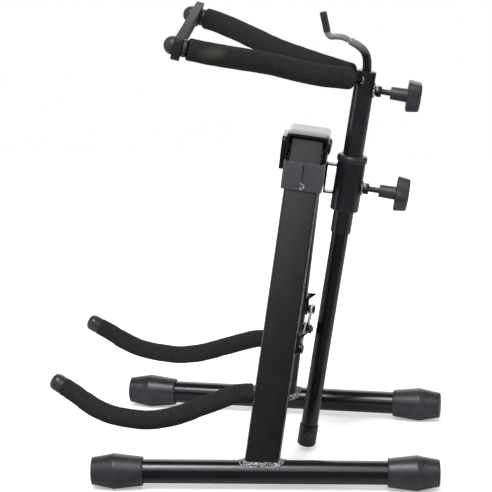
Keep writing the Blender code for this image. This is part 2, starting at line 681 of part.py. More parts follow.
def make_brace_link(pivot, mats, side, sign):
    """Flat link from the leg's pin to the middle of the brace."""
    turn = Matrix.Rotation(-sign * SPLAY, 3, "Y")
    pin = Vector((sign * PIVOT_SPACING / 2, 0, 0)) + turn @ Vector((-sign * BRACE_INSET, 0, -BRACE_DOWN))
    length = abs(pin.x)
    hinge = empty(side + "_brace_hinge", pivot, (-sign * BRACE_INSET, 0, -BRACE_DOWN), (0, sign * SPLAY, 0))
    outline = []
    radius = BRACE_WIDTH / 2
    for start, cx in ((-math.pi / 2, length), (math.pi / 2, 0.0)):
        for i in range(7):
            a = start + math.pi * i / 6
            outline.append((cx + radius * math.cos(a), radius * math.sin(a)))
    if sign > 0:
        outline = [(-x, z) for x, z in outline]
    layer = link_layer(sign)
    bm = extruded(outline, -layer - BRACE_SHEET, -layer)
    link = piece(side + "_brace_link", bm, hinge, mats["painted"], rotation=(math.radians(90), 0, 0))
    for name, x in (("_link_hole", 0.0), ("_link_eye", -sign * length)):
        hole = cylinder(BRACE_PIN_RADIUS + RUNNING, layer - CUTTER_OVER, layer + BRACE_SHEET + CUTTER_OVER)
        cut(link, side + name, hole, hinge, (x, 0, 0), (math.radians(-90), 0, 0))
    location = (-sign * length, 0, 0)
    turn_back = (math.radians(-90), 0, 0)
    if sign > 0:
        # Middle bolt: head in front, shank only as deep as this link.
        head_low = layer - GAP - BRACE_HEAD_HEIGHT
        profile = [(BRACE_HEAD_RADIUS, head_low), (BRACE_HEAD_RADIUS, layer - GAP)]
        profile += [(BRACE_PIN_RADIUS, layer - GAP), (BRACE_PIN_RADIUS, layer + BRACE_SHEET)]
        piece("brace_bolt", turned(profile, SMALL), hinge, mats["zinc"], location, turn_back)
    else:
        # Nut on the back of the other link, with the bolt's end in its bore.
        low = layer + BRACE_SHEET + GAP
        bm = extruded(hexagon(BRACE_NUT_FLATS), low, low + BRACE_NUT_THICK)
        nut = piece("brace_nut", bm, hinge, mats["zinc"], location, turn_back)
        stub = cylinder(BRACE_PIN_RADIUS, layer, low + BRACE_NUT_THICK + BRACE_BOLT_END)
        join_shape(nut, "brace_nut_stub", stub, hinge, location, turn_back)


def make_leg_side(head, mats, side, sign):
    pivot = empty(side + "_leg_pivot", head, (sign * PIVOT_SPACING / 2, 0, 0), (0, -sign * SPLAY, 0))
    foot = foot_frame(pivot, side, sign)
    make_rivet(head, mats, side, sign * PIVOT_SPACING / 2)
    make_leg(pivot, foot, mats, side)
    make_foot(foot, mats, side)
    make_arm(pivot, mats, side, sign)
    make_brace_tab(pivot, mats, side, sign)
    make_brace_pin(pivot, mats, side, sign)
    make_brace_link(pivot, mats, side, sign)


def make_holder(head, mast, mats):
    """Channel on the back of the ring and the clamp sleeve that it carries."""
    front = RING_OUTER + GAP
    reach = MAST_BACK - front
    height = HOLDER_HEIGHT
    outline = [
        (0, 0), (reach, 0), (reach, HOLDER_SHEET), (HOLDER_SHEET, HOLDER_SHEET),
        (HOLDER_SHEET, height - HOLDER_SHEET), (reach, height - HOLDER_SHEET), (reach, height), (0, height),
    ]
    bm = extruded(outline, -HOLDER_WIDTH / 2, HOLDER_WIDTH / 2)
    bmesh.ops.transform(bm, matrix=SIDE_ON, verts=bm.verts)
    channel = piece("holder_bracket", bm, head, mats["painted"], (0, front, -HOLDER_TOP - height))
    cope = cylinder(SLEEVE_RADIUS + GAP, SLEEVE_BOTTOM - CUTTER_OVER, SLEEVE_TOP + CUTTER_OVER, ROUND)
    cut(channel, "holder_cope", cope, mast)
    bm = pipe(SLEEVE_RADIUS, SLEEVE_BORE, SLEEVE_BOTTOM, SLEEVE_TOP, bevel=0.5 * MM)
    sleeve = piece("tube_holder", bm, mast, mats["painted"])
    hole = cylinder(SCREW_RADIUS + RUNNING, SLEEVE_BORE - CUTTER_OVER, SLEEVE_RADIUS + CUTTER_OVER)
    cut(sleeve, "holder_screw_hole", hole, mast, (0, 0, LOWER_SCREW_W), (math.radians(-90), 0, 0))
    skirt = SLEEVE_BORE - RUNNING
    bore = YOKE_TUBE_RADIUS + RUNNING
    low_bush = pipe(skirt, bore, SLEEVE_BOTTOM, SLEEVE_BOTTOM + LOWER_BUSH_LENGTH)
    piece("holder_lower_bush", low_bush, mast, mats["plastic"])
    make_nut("holder_nut", mast, mats, LOWER_SCREW_W, SLEEVE_RADIUS, LOWER_NUT_START)


def make_bush(turn, mats):
    """Bush in the top of the sleeve, with a rounded rubber-like head."""
    skirt = SLEEVE_BORE - RUNNING
    bore = YOKE_TUBE_RADIUS + RUNNING
    bottom = SLEEVE_TOP - BUSH_SKIRT
    low = SLEEVE_TOP + GAP
    top = low + BUSH_HEAD_HEIGHT
    edge = BUSH_HEAD_ROUND
    profile = [(skirt, bottom), (skirt, low)]
    profile += [(BUSH_HEAD_RADIUS - edge * 0.3, low), (BUSH_HEAD_RADIUS, low + edge * 0.5)]
    for i in range(5):
        a = math.radians(90 * i / 4)
        profile.append((BUSH_HEAD_RADIUS - edge + edge * math.cos(a), top - edge + edge * math.sin(a)))
    profile += [(bore, top), (bore, bottom)]
    piece("holder_bush", turned(profile, ROUND, closed=True), turn, mats["rubber"])


def make_nut(name, parent, mats, w, seat, start):
    """Hexagon weld nut behind a tube, with a pilot that reaches its wall."""
    place = (0, 0, w)
    turn = (math.radians(-90), 0, 0)
    bm = extruded(hexagon(NUT_FLATS), start, start + NUT_THICK)
    nut = piece(name, bm, parent, mats["painted"], place, turn)
    pilot = cylinder(NUT_PILOT_RADIUS, seat + GAP, start + NUT_THICK / 2)
    join_shape(nut, name + "_pilot", pilot, parent, place, turn)
    bore = cylinder(SCREW_RADIUS + RUNNING, seat - CUTTER_OVER, start + NUT_THICK + CUTTER_OVER)
    cut(nut, name + "_bore", bore, parent, place, turn)


def knob_outline(scale, phase, steps=48):
    points = []
    for i in range(steps):
        a = 2 * math.pi * i / steps
        r = scale + KNOB_LOBE * math.cos(KNOB_LOBES * (a - phase))
        points.append((r * math.cos(a), r * math.sin(a)))
    return points


def make_knob(prefix, parent, mats, w, tube_radius, hub_start, phase):
    """Lock knob: four-lobed head on a hub, moulded round an M6 screw that bears on the tube."""
    axis = empty(prefix + "_axis", parent, (0, 0, w), (math.radians(-90), 0, 0))
    head_low = hub_start + HUB_LENGTH
    top = head_low + KNOB_THICK
    bm = bmesh.new()
    rings = []
    for height, inset in ((head_low, KNOB_ROUND), (head_low + KNOB_ROUND, 0.0), (top - KNOB_ROUND, KNOB_TAPER),
                          (top, KNOB_TAPER + KNOB_ROUND), (top + 0.6 * MM, KNOB_RADIUS * 0.5)):
        ring = [bm.verts.new((x, y, height)) for x, y in knob_outline(KNOB_RADIUS - inset, phase)]
        rings.append(ring)
    link_rings(bm, rings)
    bm.faces.new(rings[0])
    bm.faces.new(rings[-1])
    head = piece(prefix + "_knob", bm, axis, mats["plastic"])
    hub = turned([(HUB_RADIUS, hub_start), (HUB_ROOT_RADIUS, head_low + KNOB_THICK / 2)], 16)
    join_shape(head, prefix + "_hub", hub, axis)
    socket = cylinder(SCREW_RADIUS + GAP, hub_start - CUTTER_OVER, hub_start + HUB_LENGTH)
    cut(head, prefix + "_socket", socket, axis)
    screw = cylinder(SCREW_RADIUS, tube_radius + GAP, hub_start + HUB_LENGTH - GAP)
    piece(prefix + "_screw", screw, axis, mats["zinc"])


def yoke_end_direction():
    return Vector((0, -math.cos(YOKE_END_RISE), math.sin(YOKE_END_RISE)))


def yoke_end(sign):
    """Where an arm's padding ends and its straight end begins."""
    lift = YOKE_LEFT_LIFT if sign < 0 else 0.0
    return Vector((sign * YOKE_END_X, -YOKE_END_START, YOKE_END_W + lift))


def yoke_arm_path(sign):
    along = yoke_end_direction()
    end = yoke_end(sign)
    points = []
    for x, f, w in YOKE_PATH:
        lift = (end.z - YOKE_END_W) * (f * MM / YOKE_END_START) ** 2
        points.append(Vector((sign * x * MM, -f * MM, w * MM + lift)))
    straight = end - along * (5 * MM)
    path = smooth_path(points + [straight]) + [end]
    reach = (BALL_START - YOKE_END_START) + YOKE_ROD_GRIP
    return path, end, end + along * reach


def make_yoke_arm(yoke, mats, side, sign):
    """One padded arm of the fork with the collar and ball that hold the strap."""
    path, end, tip = yoke_arm_path(sign)
    rod = piece(side + "_yoke_rod", swept(path + [tip], YOKE_ROD_RADIUS, 8), yoke, mats["painted"])
    cope = cylinder(YOKE_TUBE_RADIUS + GAP, 0, YOKE_TUBE_TOP + CUTTER_OVER, ROUND)
    cut(rod, side + "_rod_cope", cope, yoke)
    foam = trim_path(path, YOKE_FOAM_START, -GAP)
    bm = swept(foam, YOKE_FOAM_RADIUS, ROD_SIDES, bore=YOKE_ROD_RADIUS + 2 * GAP)
    piece(side + "_yoke_foam", bm, yoke, mats["foam"], sharp=60)
    along = yoke_end_direction()
    rotation = along.to_track_quat("Z", "Y").to_euler()
    bore = YOKE_ROD_RADIUS + RUNNING
    collar = pipe(COLLAR_RADIUS, bore, GAP, COLLAR_LENGTH, 20, bevel=0.6 * MM)
    piece(side + "_yoke_collar", collar, yoke, mats["plastic"], end, rotation)
    low = BALL_START - YOKE_END_START
    profile = [(bore, low), (BALL_RADIUS, low)]
    for i in range(1, 6):
        a = math.radians(80 * i / 5)
        profile.append((BALL_RADIUS * math.cos(a), low + BALL_LENGTH * math.sin(a)))
    hole_end = low + YOKE_ROD_GRIP + GAP
    ball = [(bore * 0.5, hole_end), (bore, hole_end)] + profile
    piece(side + "_yoke_ball", turned(ball, 20), yoke, mats["plastic"], end, rotation)


def strap_outline(span):
    """Bar with a straight top, a round lobe hanging at each rod and a pull tab at the left end."""
    points = []
    centre = STRAP_LOBE_RADIUS - STRAP_LOBE
    bar_low = STRAP_ABOVE - STRAP_BAR
    meet = math.asin((bar_low - centre) / STRAP_LOBE_RADIUS)
    for i in range(4):
        a = math.radians(90 - 30 * i)
        points.append((STRAP_LOBE_RADIUS - STRAP_CORNER + STRAP_CORNER * math.cos(a),
                       STRAP_ABOVE - STRAP_CORNER + STRAP_CORNER * math.sin(a)))
    for i in range(13):
        a = -(math.pi + meet) * i / 12
        points.append((STRAP_LOBE_RADIUS * math.cos(a), centre + STRAP_LOBE_RADIUS * math.sin(a)))
    tab = []
    for x, z in points[::-1]:
        if z > bar_low and x > 0:
            x += STRAP_TAB - STRAP_LOBE_RADIUS
        tab.append((-span - x, z))
    middle = [(-span - STRAP_LOBE_RADIUS * math.cos(meet), bar_low), (-span - STRAP_TAB, bar_low)]
    split = next(i for i, (x, z) in enumerate(tab) if x < -span and z > bar_low)
    return points + tab[:split] + middle + tab[split:]


def make_strap(yoke, mats):
    """Bar across the open end of the fork: a hole at the right ball, an open hook at the left."""
    along = yoke_end_direction()
    step = along * (STRAP_START - YOKE_END_START)
    start = yoke_end(1) + step
    across = yoke_end(-1) - yoke_end(1)
    span = across.length
    hinge = empty("strap_hinge", yoke, start, (-YOKE_END_RISE, 0, 0))
    swing = empty("strap_swing", hinge, (0, 0, 0), (0, math.asin((across.z + STRAP_LIFT) / span), 0))
    bm = extruded(strap_outline(span), 0, STRAP_THICK)
    strap = piece("yoke_strap", bm, swing, mats["strap"], rotation=(math.radians(90), 0, 0))
    hole = cylinder(YOKE_ROD_RADIUS + STRAP_PLAY, -CUTTER_OVER, STRAP_THICK + CUTTER_OVER, 16)
    cut(strap, "strap_hole", hole, swing, (0, 0, 0), (math.radians(90), 0, 0))
    slot_radius = YOKE_ROD_RADIUS + 2 * STRAP_PLAY
    drop = STRAP_LOBE + CUTTER_OVER
    slot = []
    for i in range(9):
        a = math.pi * i / 8
        slot.append((slot_radius * math.cos(a), slot_radius * math.sin(a)))
    slot += [(-slot_radius, -drop), (slot_radius, -drop)]
    bm = extruded(slot, -CUTTER_OVER, STRAP_THICK + CUTTER_OVER)
    cut(strap, "strap_slot", bm, swing, (-span, 0, 0), (math.radians(90), 0, 0))


def make_yoke(yoke, mats):
    bm = pipe(YOKE_TUBE_RADIUS, YOKE_BORE, YOKE_TUBE_BOTTOM, YOKE_TUBE_TOP, bevel=0.3 * MM)
    tube = piece("yoke_tube", bm, yoke, mats["painted"])
    hole = cylinder(SCREW_RADIUS + RUNNING, YOKE_BORE - CUTTER_OVER, YOKE_TUBE_RADIUS + CUTTER_OVER)
    cut(tube, "yoke_screw_hole", hole, yoke, (0, 0, UPPER_SCREW_W), (math.radians(-90), 0, 0))
    make_nut("yoke_nut", yoke, mats, UPPER_SCREW_W, YOKE_TUBE_RADIUS, UPPER_NUT_START)
    for side, sign in (("right", 1), ("left", -1)):
        make_yoke_arm(yoke, mats, side, sign)


def make_bow_tube(bow, mats):
    """Inner tube with its top plug, the cap on its lower end and the stop button."""
    inner = BOW_TUBE_RADIUS - BOW_TUBE_WALL
    piece("bow_tube", pipe(BOW_TUBE_RADIUS, inner, BOW_TUBE_BOTTOM, BOW_TUBE_TOP), bow, mats["painted"])
    hole = HOOK_RADIUS + RUNNING
    flange = BOW_TUBE_TOP + GAP
    body = inner - GAP
    deep = BOW_TUBE_TOP - PLUG_DEPTH
    top = flange + PLUG_FLANGE
    profile = [(body, deep), (body, flange), (BOW_TUBE_RADIUS, flange), (BOW_TUBE_RADIUS, top), (hole, top), (hole, deep)]
    piece("bow_tube_plug", turned(profile, ROUND, closed=True), bow, mats["plastic"])
    bore = BOW_TUBE_RADIUS + GAP
    low = BOW_TUBE_BOTTOM - END_CAP_WALL - GAP
    profile = [(END_CAP_RADIUS * 0.35, low)]
    for i in range(5):
        a = math.radians(90 * i / 4)
        profile.append((END_CAP_RADIUS - END_CAP_ROUND + END_CAP_ROUND * math.sin(a),
                        low + END_CAP_ROUND * (1 - math.cos(a))))
    profile += [(END_CAP_RADIUS, BOW_TUBE_BOTTOM + END_CAP_COVER), (bore, BOW_TUBE_BOTTOM + END_CAP_COVER),
                (bore, BOW_TUBE_BOTTOM - GAP), (bore * 0.5, BOW_TUBE_BOTTOM - GAP)]
    cap = piece("bow_tube_cap", turned(profile, ROUND), bow, mats["plastic"])
    face = END_CAP_RADIUS + BUTTON_HEIGHT
    profile = [(BUTTON_RADIUS, END_CAP_RADIUS - BUTTON_HEIGHT / 2), (BUTTON_RADIUS, face - BUTTON_HEIGHT / 2)]
    profile.append((BUTTON_RADIUS * 0.6, face))
    place = (0, 0, BOW_TUBE_BOTTOM + BUTTON_RISE)
    join_shape(cap, "stop_button", turned(profile, SMALL), bow, place, (0, math.radians(90), 0))


def make_bow_hook(turn, mats):
    """Cranked rod that holds the bow: thick below, slimmer past its groove, with a sleeved tip."""
    points = [Vector((0, -f * MM, w * MM)) for f, w in HOOK_RISE + HOOK_ARM]
    path = smooth_path(points, 3)
    groove = (path_length(path) / path_length(points)) * path_length(points[:len(HOOK_RISE)])
    below = Vector((0, 0, BOW_TUBE_TOP - PLUG_DEPTH))
    rise = trim_path(path, 0, groove)
    arm = trim_path(path, groove + HOOK_GROOVE, -(HOOK_TIP_LENGTH + GAP))
    radii = [HOOK_RADIUS]
    for i in range(len(rise)):
        t = i / (len(rise) - 1)
        radii.append(HOOK_RADIUS + (HOOK_NECK_RADIUS - HOOK_RADIUS) * t)
    along = (arm[0] - rise[-1]).normalized()
    neck = HOOK_ARM_RADIUS - HOOK_GROOVE_DEPTH
    full = [below] + rise + [rise[-1] + along * HOOK_GROOVE * 0.2, arm[0] - along * HOOK_GROOVE * 0.2] + arm
    radii += [neck, neck] + [HOOK_ARM_RADIUS] * len(arm)
    hook = piece("bow_hook", swept(full, radii, ROD_SIDES), turn, mats["painted"])
    low = BOW_TUBE_TOP + PLUG_FLANGE + 2 * GAP
    collar = turned([(HOOK_FLANGE_RADIUS, low), (HOOK_FLANGE_RADIUS * 0.9, low + HOOK_FLANGE_HEIGHT)], 16)
    join_shape(hook, "hook_flange", collar, turn)
    tip = trim_path(path, path_length(path) - HOOK_TIP_LENGTH, 0)
    last = (tip[-1] - tip[-2]).normalized()
    tip.append(tip[-1] + last * HOOK_TIP_ROUND)
    radii = [HOOK_TIP_RADIUS] * (len(tip) - 1) + [HOOK_TIP_RADIUS - HOOK_TIP_ROUND]
    piece("bow_hook_tip", swept(tip, radii, ROD_SIDES), turn, mats["rubber"])


def path_length(path):
    return sum((b - a).length for a, b in zip(path, path[1:]))


def main():
    clear_scene()
    mats = make_materials()
    head = empty("head_frame", None, HEAD, (-LEAN, 0, 0))
    mast_place = HEAD + Matrix.Rotation(-LEAN, 3, "X") @ Vector((0, MAST_BACK, -MAST_DROP))
    mast = empty("mast_frame", None, mast_place, (-MAST_LEAN, 0, 0))
    turn = empty("yoke_turn", mast, rotation=(0, 0, YOKE_TURN))
    bpy.context.view_layer.update()
    make_top_bracket(head, mats)
    make_front_plate(head, mats)
    make_leg_ring(head, mats)
    make_holder(head, mast, mats)
    for side, sign in (("right", 1), ("left", -1)):
        make_leg_side(head, mats, side, sign)
    make_bush(turn, mats)
    make_yoke(turn, mats)
    make_strap(turn, mats)
    make_bow_tube(turn, mats)
    make_bow_hook(turn, mats)
    make_knob("lower", mast, mats, LOWER_SCREW_W, YOKE_TUBE_RADIUS, LOWER_HUB_START, LOWER_KNOB_PHASE)
    make_knob("upper", turn, mats, UPPER_SCREW_W, BOW_TUBE_RADIUS, UPPER_HUB_START, UPPER_KNOB_PHASE)


main()
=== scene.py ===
import math

import bmesh
import bpy
from mathutils import Matrix, Quaternion, Vector, noise


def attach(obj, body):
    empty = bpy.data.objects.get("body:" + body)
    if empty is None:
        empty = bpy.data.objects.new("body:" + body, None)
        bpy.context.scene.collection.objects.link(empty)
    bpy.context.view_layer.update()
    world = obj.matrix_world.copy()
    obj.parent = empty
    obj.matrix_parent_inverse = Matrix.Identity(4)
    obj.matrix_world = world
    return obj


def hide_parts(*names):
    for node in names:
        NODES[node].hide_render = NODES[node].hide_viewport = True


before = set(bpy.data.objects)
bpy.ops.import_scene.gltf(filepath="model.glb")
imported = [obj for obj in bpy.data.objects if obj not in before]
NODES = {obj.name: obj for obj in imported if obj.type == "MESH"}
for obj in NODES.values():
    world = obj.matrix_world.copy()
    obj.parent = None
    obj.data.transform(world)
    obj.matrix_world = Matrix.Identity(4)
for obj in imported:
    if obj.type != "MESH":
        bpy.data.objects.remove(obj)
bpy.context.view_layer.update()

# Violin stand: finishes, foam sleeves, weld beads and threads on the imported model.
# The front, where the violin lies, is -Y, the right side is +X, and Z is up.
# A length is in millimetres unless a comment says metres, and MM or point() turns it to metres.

MM = 0.001
SIDES = (("right", 1), ("left", -1))

# Camera, as found from the photograph
CAMERA_PLACE = (1795.9, 169.3, 658.4)
CAMERA_TURN = (75.80, 0.158, 95.595)
CAMERA_LENS = 143.67
SENSOR_WIDTH = 36

# Legs: flat tubes that lean back and splay out from their rivets to the foot tubes
LEAN = math.radians(7.0)
SPLAY = math.radians(18.7)
LEG_LENGTH = 304.0
LEG_SIZE = (15.9, 31.8)
LEG_CORNER = 2.2
LEG_HIGHLIGHT_START = 0.92            # in from the leg's face, where the painted highlight along its corners begins
LEG_HIGHLIGHT_FULL = 0.7
PIVOT_SPACING = 20.8
FOOT_TOE = math.radians(1.7)
FOOT_RADIUS = 11.1
FOOT_Y = 15.6
FOOT_HEIGHT = 15.8

# Rubber foot caps: radius against the distance from the outer face
CAP_OUTLINE = ((0, 0), (4, 0.08), (8, 0.35), (11, 0.75), (12.4, 1.3), (12.9, 2.2), (16.1, 19.9),
               (16.38, 21.0), (16.4, 22.0), (16.3, 23.1), (13.6, 46.6), (13.35, 47.9), (12.8, 48.35),
               (11.4, 48.4), (11.25, 47.6), (11.2, 44))
CAP_SIDES = 96
CAP_STEP = 0.35
# each end, where its cap's outer face is along the foot tube from the leg, and the way out
CAP_PLACES = (("front", -156.3, -1), ("rear", 164.8, 1))
RIDGE_START = 3.4
RIDGE_PITCH = 2.1
RIDGE_COUNT = 7
RIDGE_HALF_WIDTH = 0.7
RIDGE_DEPTH = 0.6
RIDGED_FROM_RADIUS = 11.5
RIDGED_TO = 20

# Support arms, in the plane of the leg: forward of the foot crossing and height above it
ARM_PATH = (
    (-3.0, 68.0), (10.0, 68.6), (24.0, 67.2), (40.0, 61.6), (56.0, 55.8), (72.0, 49.6), (88.0, 45.4),
    (103.0, 43.4), (118.0, 44.2), (133.0, 46.4), (147.0, 50.4), (160.0, 57.2), (172.0, 65.0),
)
ARM_END = (194.2, 78.2)
ARM_FLARE = math.radians(2.0)
ARM_FOAM_RADIUS = 8.8
ARM_FOAM_START = 11.5
ARM_FOAM_SHORT = 12.3
ARM_FOAM_THIN = 24
ROD_RADIUS = 3.5

# Mast: the fork and the bow tube lean back behind the head, and the fork is turned a little
MAST_LEAN = math.radians(8.4)
MAST_BACK = 41.9
MAST_DROP = 36.9
FORK_TURN = math.radians(2.0)

# Fork rods: out from the mast, forward of it and up it, then straight to the strap
FORK_PATH = (
    (4.2, 2.5, 104.5), (18.8, 21.9, 105.3), (30.5, 43.8, 106.7), (37.6, 65.7, 109.2),
    (44.9, 87.6, 112.4), (61.9, 109.5, 115.6), (78.4, 130.6, 118.6), (87.6, 145.5, 120.5),
)
FORK_END = (90.5, 160.3, 122.0)
FORK_END_RISE = math.radians(5.4)
FORK_END_STRAIGHT = 5
FORK_LEFT_LIFT = 2.2
FORK_FOAM_RADIUS = 10.1
FORK_FOAM_STARTS = {"right": 14.3, "left": 13.5}
FORK_FOAM_SHORT = 0.3

# Foam: its skin's steps, its rounded cut ends, and the folds inside its bends
FOAM_SPAN = 12.7                # a sleeve meets its rod's centre line at points about this far apart
FOAM_STEP = 1.2
FOAM_SIDES = 40
FOAM_BORE = ROD_RADIUS + 0.6
FOAM_BORE_DEPTH = 3
CUT_ROUND = 1.6
CUT_DROP = 0.9
THIN_DROP = 0.35
THIN_RUN = 2
FOLD_DEPTH = 1.6
FOLD_RATE = 1.9
BEND_REACH = 4
# depth and rate of the skin's broad hollows and of its fine ones
HOLLOWS = ((0.28, 0.11), (0.1, 0.5))

# Bow hook: the distance forward of the mast and the height up it, and the rod's radii
HOOK_PATH = (
    (0, 98), (0, 106), (0, 114.5), (0.9, 121), (2.7, 126.3), (6.2, 130.9), (11.5, 134.2), (17.4, 136.6),
    (21.8, 138.3), (26.4, 139.5), (32.4, 139.3), (37.2, 138.6), (40.3, 140.5), (42, 144.3), (43.9, 149.5),
)
HOOK_STEP = 0.6
HOOK_LOW_RADIUS = 4.6
HOOK_NECK_RADIUS = 3.5
HOOK_ARM_RADIUS = 2.9
HOOK_NECK = 49.5
GROOVE_PAST_NECK = 0.9
GROOVE_DEPTH = 1.1
GROOVE_HALF_WIDTH = 1.0
TIP_PATH = ((41.4, 142.4), (43.2, 147.4), (45.5, 153.4), (47.6, 159), (48.1, 160.3))
TIP_STEP = 0.4
TIP_RADIUS = 3.3
TIP_END_ROUND = 1.4
TIP_MOUTH_ROUND = 0.8
TIP_MOUTH_START = 0.6
# up the mast, where the hook's painted reflection fades in, and where it is full
PALE_ARM_FROM = 127
PALE_ARM_TO = 138.5

# Weld beads: steps along them, and the pitch of their ripples
BEAD_STEP = 0.4
BEAD_PITCH = 1.3
BEAD_LOW = 0.92                 # share of a bead's radius where a ripple starts
BEAD_RISE = 0.16                # share that it gains along the ripple
BEAD_SIDES = 10
# off the leg, how far it wanders, and its radius, for each bead round a foot
FOOT_BEADS = ((0.2, 0.3, 1.5), (1.9, 1.5, 0.95), (3.7, 2.0, 0.7))
FOOT_BEAD_LUMPS = 0.6
ABOVE_FOOT = 40                 # up the leg from the foot tube, where the search for the joint starts
SPATTER_COUNT = 40
SPATTER_OFF = 4.2
SPATTER_SPREAD = 3
SPATTER_RADII = (0.3, 0.38, 0.46, 0.54, 0.62)
ARM_WELD = (85.7, 7.7, 84.5)
ARM_WELD_AXIS = (0.1, -0.99, -0.08)
FORK_WELD = (6.4, -4.5, 104.6)
FORK_WELD_AXIS = (0.75, -0.64, 0.1)

# Seam of the sheet ring, up its right side, and the tack weld at its lower end
SEAM_LOW = Vector((34.45, 46.9, 271))
SEAM_HIGH = Vector((34.45, 49.3, 289.6))
SEAM_STEPS = 47
SEAM_LIP = 0.75
SEAM_LIP_RADIUS = 0.38
RING_TACK = ((34.7, 43.6, 268.2), (34.7, 45.6, 270.4), (34.8, 48.4, 269.9), (34.7, 49, 267.2),
             (34.7, 46.6, 265.4), (34.7, 44.6, 266.8), (34.9, 46.2, 268.6), (34.9, 47.6, 267.9),
             (34.8, 46.5, 266.3), (34.6, 46.4, 263.8))

# Stop button near the foot of the bow tube: out from its axis and up it
BUTTON_PLACE = (10.15, 0, -245.5)
BUTTON_RIM_RADIUS = 2.7
BUTTON_RIM_THICK = 0.32
BUTTON_DOT_RADIUS = 0.9
BUTTON_DOT_SQUASH = 0.45

# Lock screws: height up the mast, then where each thread starts and ends behind it
LOWER_SCREW = (2.4, 9.9, 44.4)
UPPER_SCREW = (95.0, 8.4, 40.1)
LOWER_NUT_WELD = 13.4
UPPER_NUT_WELD = 9.5
NUT_WELD_RADIUS = 6
SCREW_RADIUS = 3
SCREW_PITCH = 1
THREAD_DEPTH = 0.52
THREAD_END_DEPTH = 0.55
THREAD_STEPS = 7

# Studio: a wide pale table that ends a little in front of the stand, and its soft boxes
FLOOR_FRONT = 230
FLOOR_BACK = -1400
FLOOR_HALF_WIDTH = 1000
MIRROR_SHADE_FROM = 124               # past here the table is painted darker still in reflections, a painted shade
MIRROR_SHADE_FULL = 140
AIM = (0, 0, 200)
KEY_PLACE = (1800, 100, 2600)
KEY_WIDTH = math.radians(26)
KEY_ENERGY = 0.4
# place, width and height in metres, and power in watts
SOFT_BOXES = {
    "front_key": ((1376, -400, 2735), (0.75, 1.38), 60),
    "front_strip": ((350, -1700, 700), (0.4, 1.4), 5),
    "rear_strip": ((350, 1700, 700), (0.4, 1.4), 4),
    "low_box": ((1740, 60, 1190), (1.8, 0.3), 5),
    "back_panel": ((-5000, 0, 1900), (3.5, 7), 150),
}

# The frames of the head, the right leg, its foot tube and the mast, worked out from the sizes above
UPRIGHT = LEG_LENGTH * math.cos(SPLAY)
HEAD_PLACE = (0, FOOT_Y + UPRIGHT * math.sin(LEAN), FOOT_HEIGHT + UPRIGHT * math.cos(LEAN))
HEAD = Matrix.Translation(HEAD_PLACE) @ Matrix.Rotation(-LEAN, 4, "X")
LEG_PIVOT = Matrix.Translation((PIVOT_SPACING / 2, 0, 0))
RIGHT_LEG = HEAD @ LEG_PIVOT @ Matrix.Rotation(-SPLAY, 4, "Y")
LEG_ACROSS, LEG_DEEP, LEG_AXIS = (axis.copy() for axis in RIGHT_LEG.to_3x3().col)
FOOT_MIDDLE = (PIVOT_SPACING / 2 + LEG_LENGTH * math.sin(SPLAY), FOOT_Y, FOOT_HEIGHT)
FOOT_HEADING = math.atan(math.sin(LEAN) * math.tan(SPLAY)) + FOOT_TOE
FOOT_ALONG = (-math.sin(FOOT_HEADING), math.cos(FOOT_HEADING), 0)
MAST_PLACE = HEAD @ Vector((0, MAST_BACK, -MAST_DROP))
MAST = Matrix.Translation(MAST_PLACE) @ Matrix.Rotation(-MAST_LEAN, 4, "X")
FORK = MAST @ Matrix.Rotation(FORK_TURN, 4, "Z")

# Sockets of a Mix node that mixes colours, and the share that each finer layer adds to a noise
AMOUNT, FIRST, SECOND, MIXED = 0, 6, 7, 2
ROUGHER = 0.55


def point(p):
    """A point given in millimetres as a vector in metres."""
    return Vector(p) * MM


def per(size):
    """The scale that makes a pattern's marks so many millimetres across."""
    return 1 / (size * MM)


def mirrored(p, side):
    """A point or direction of the right side on the given side."""
    return Vector((p[0] * side, p[1], p[2]))


def linear(text):
    """A hex colour as the linear values that shaders take."""
    values = []
    for i in (0, 2, 4):
        c = int(text[i:i + 2], 16) / 255
        values.append(c / 12.92 if c <= 0.04045 else ((c + 0.055) / 1.055) ** 2.4)
    return (*values, 1.0)


def fill(tree, node, inputs):
    """Links a node's inputs, or sets them to a colour in hex or a plain value."""
    for key, value in inputs.items():
        socket = node.inputs[key]
        if isinstance(value, bpy.types.NodeSocket):
            tree.links.new(value, socket)
        elif socket.type == "RGBA":
            socket.default_value = linear(value)
        else:
            socket.default_value = value


def add(tree, kind, out=0, inputs=None, **settings):
    """Adds a node with its settings and inputs, and gives the output that is asked for."""
    node = tree.nodes.new(kind)
    for name, value in settings.items():
        setattr(node, name, value)
    fill(tree, node, inputs or {})
    return None if out is None else node.outputs[out]


def new_material(name, constants):
    """A material: its tree, its shader with its constants, and the place on the stand."""
    mat = bpy.data.materials.new(name)
    mat.use_nodes = True
    tree = mat.node_tree
    shader = tree.nodes["Principled BSDF"]
    fill(tree, shader, constants)
    place = add(tree, "ShaderNodeTexCoord", "Object")
    return mat, tree, shader, place


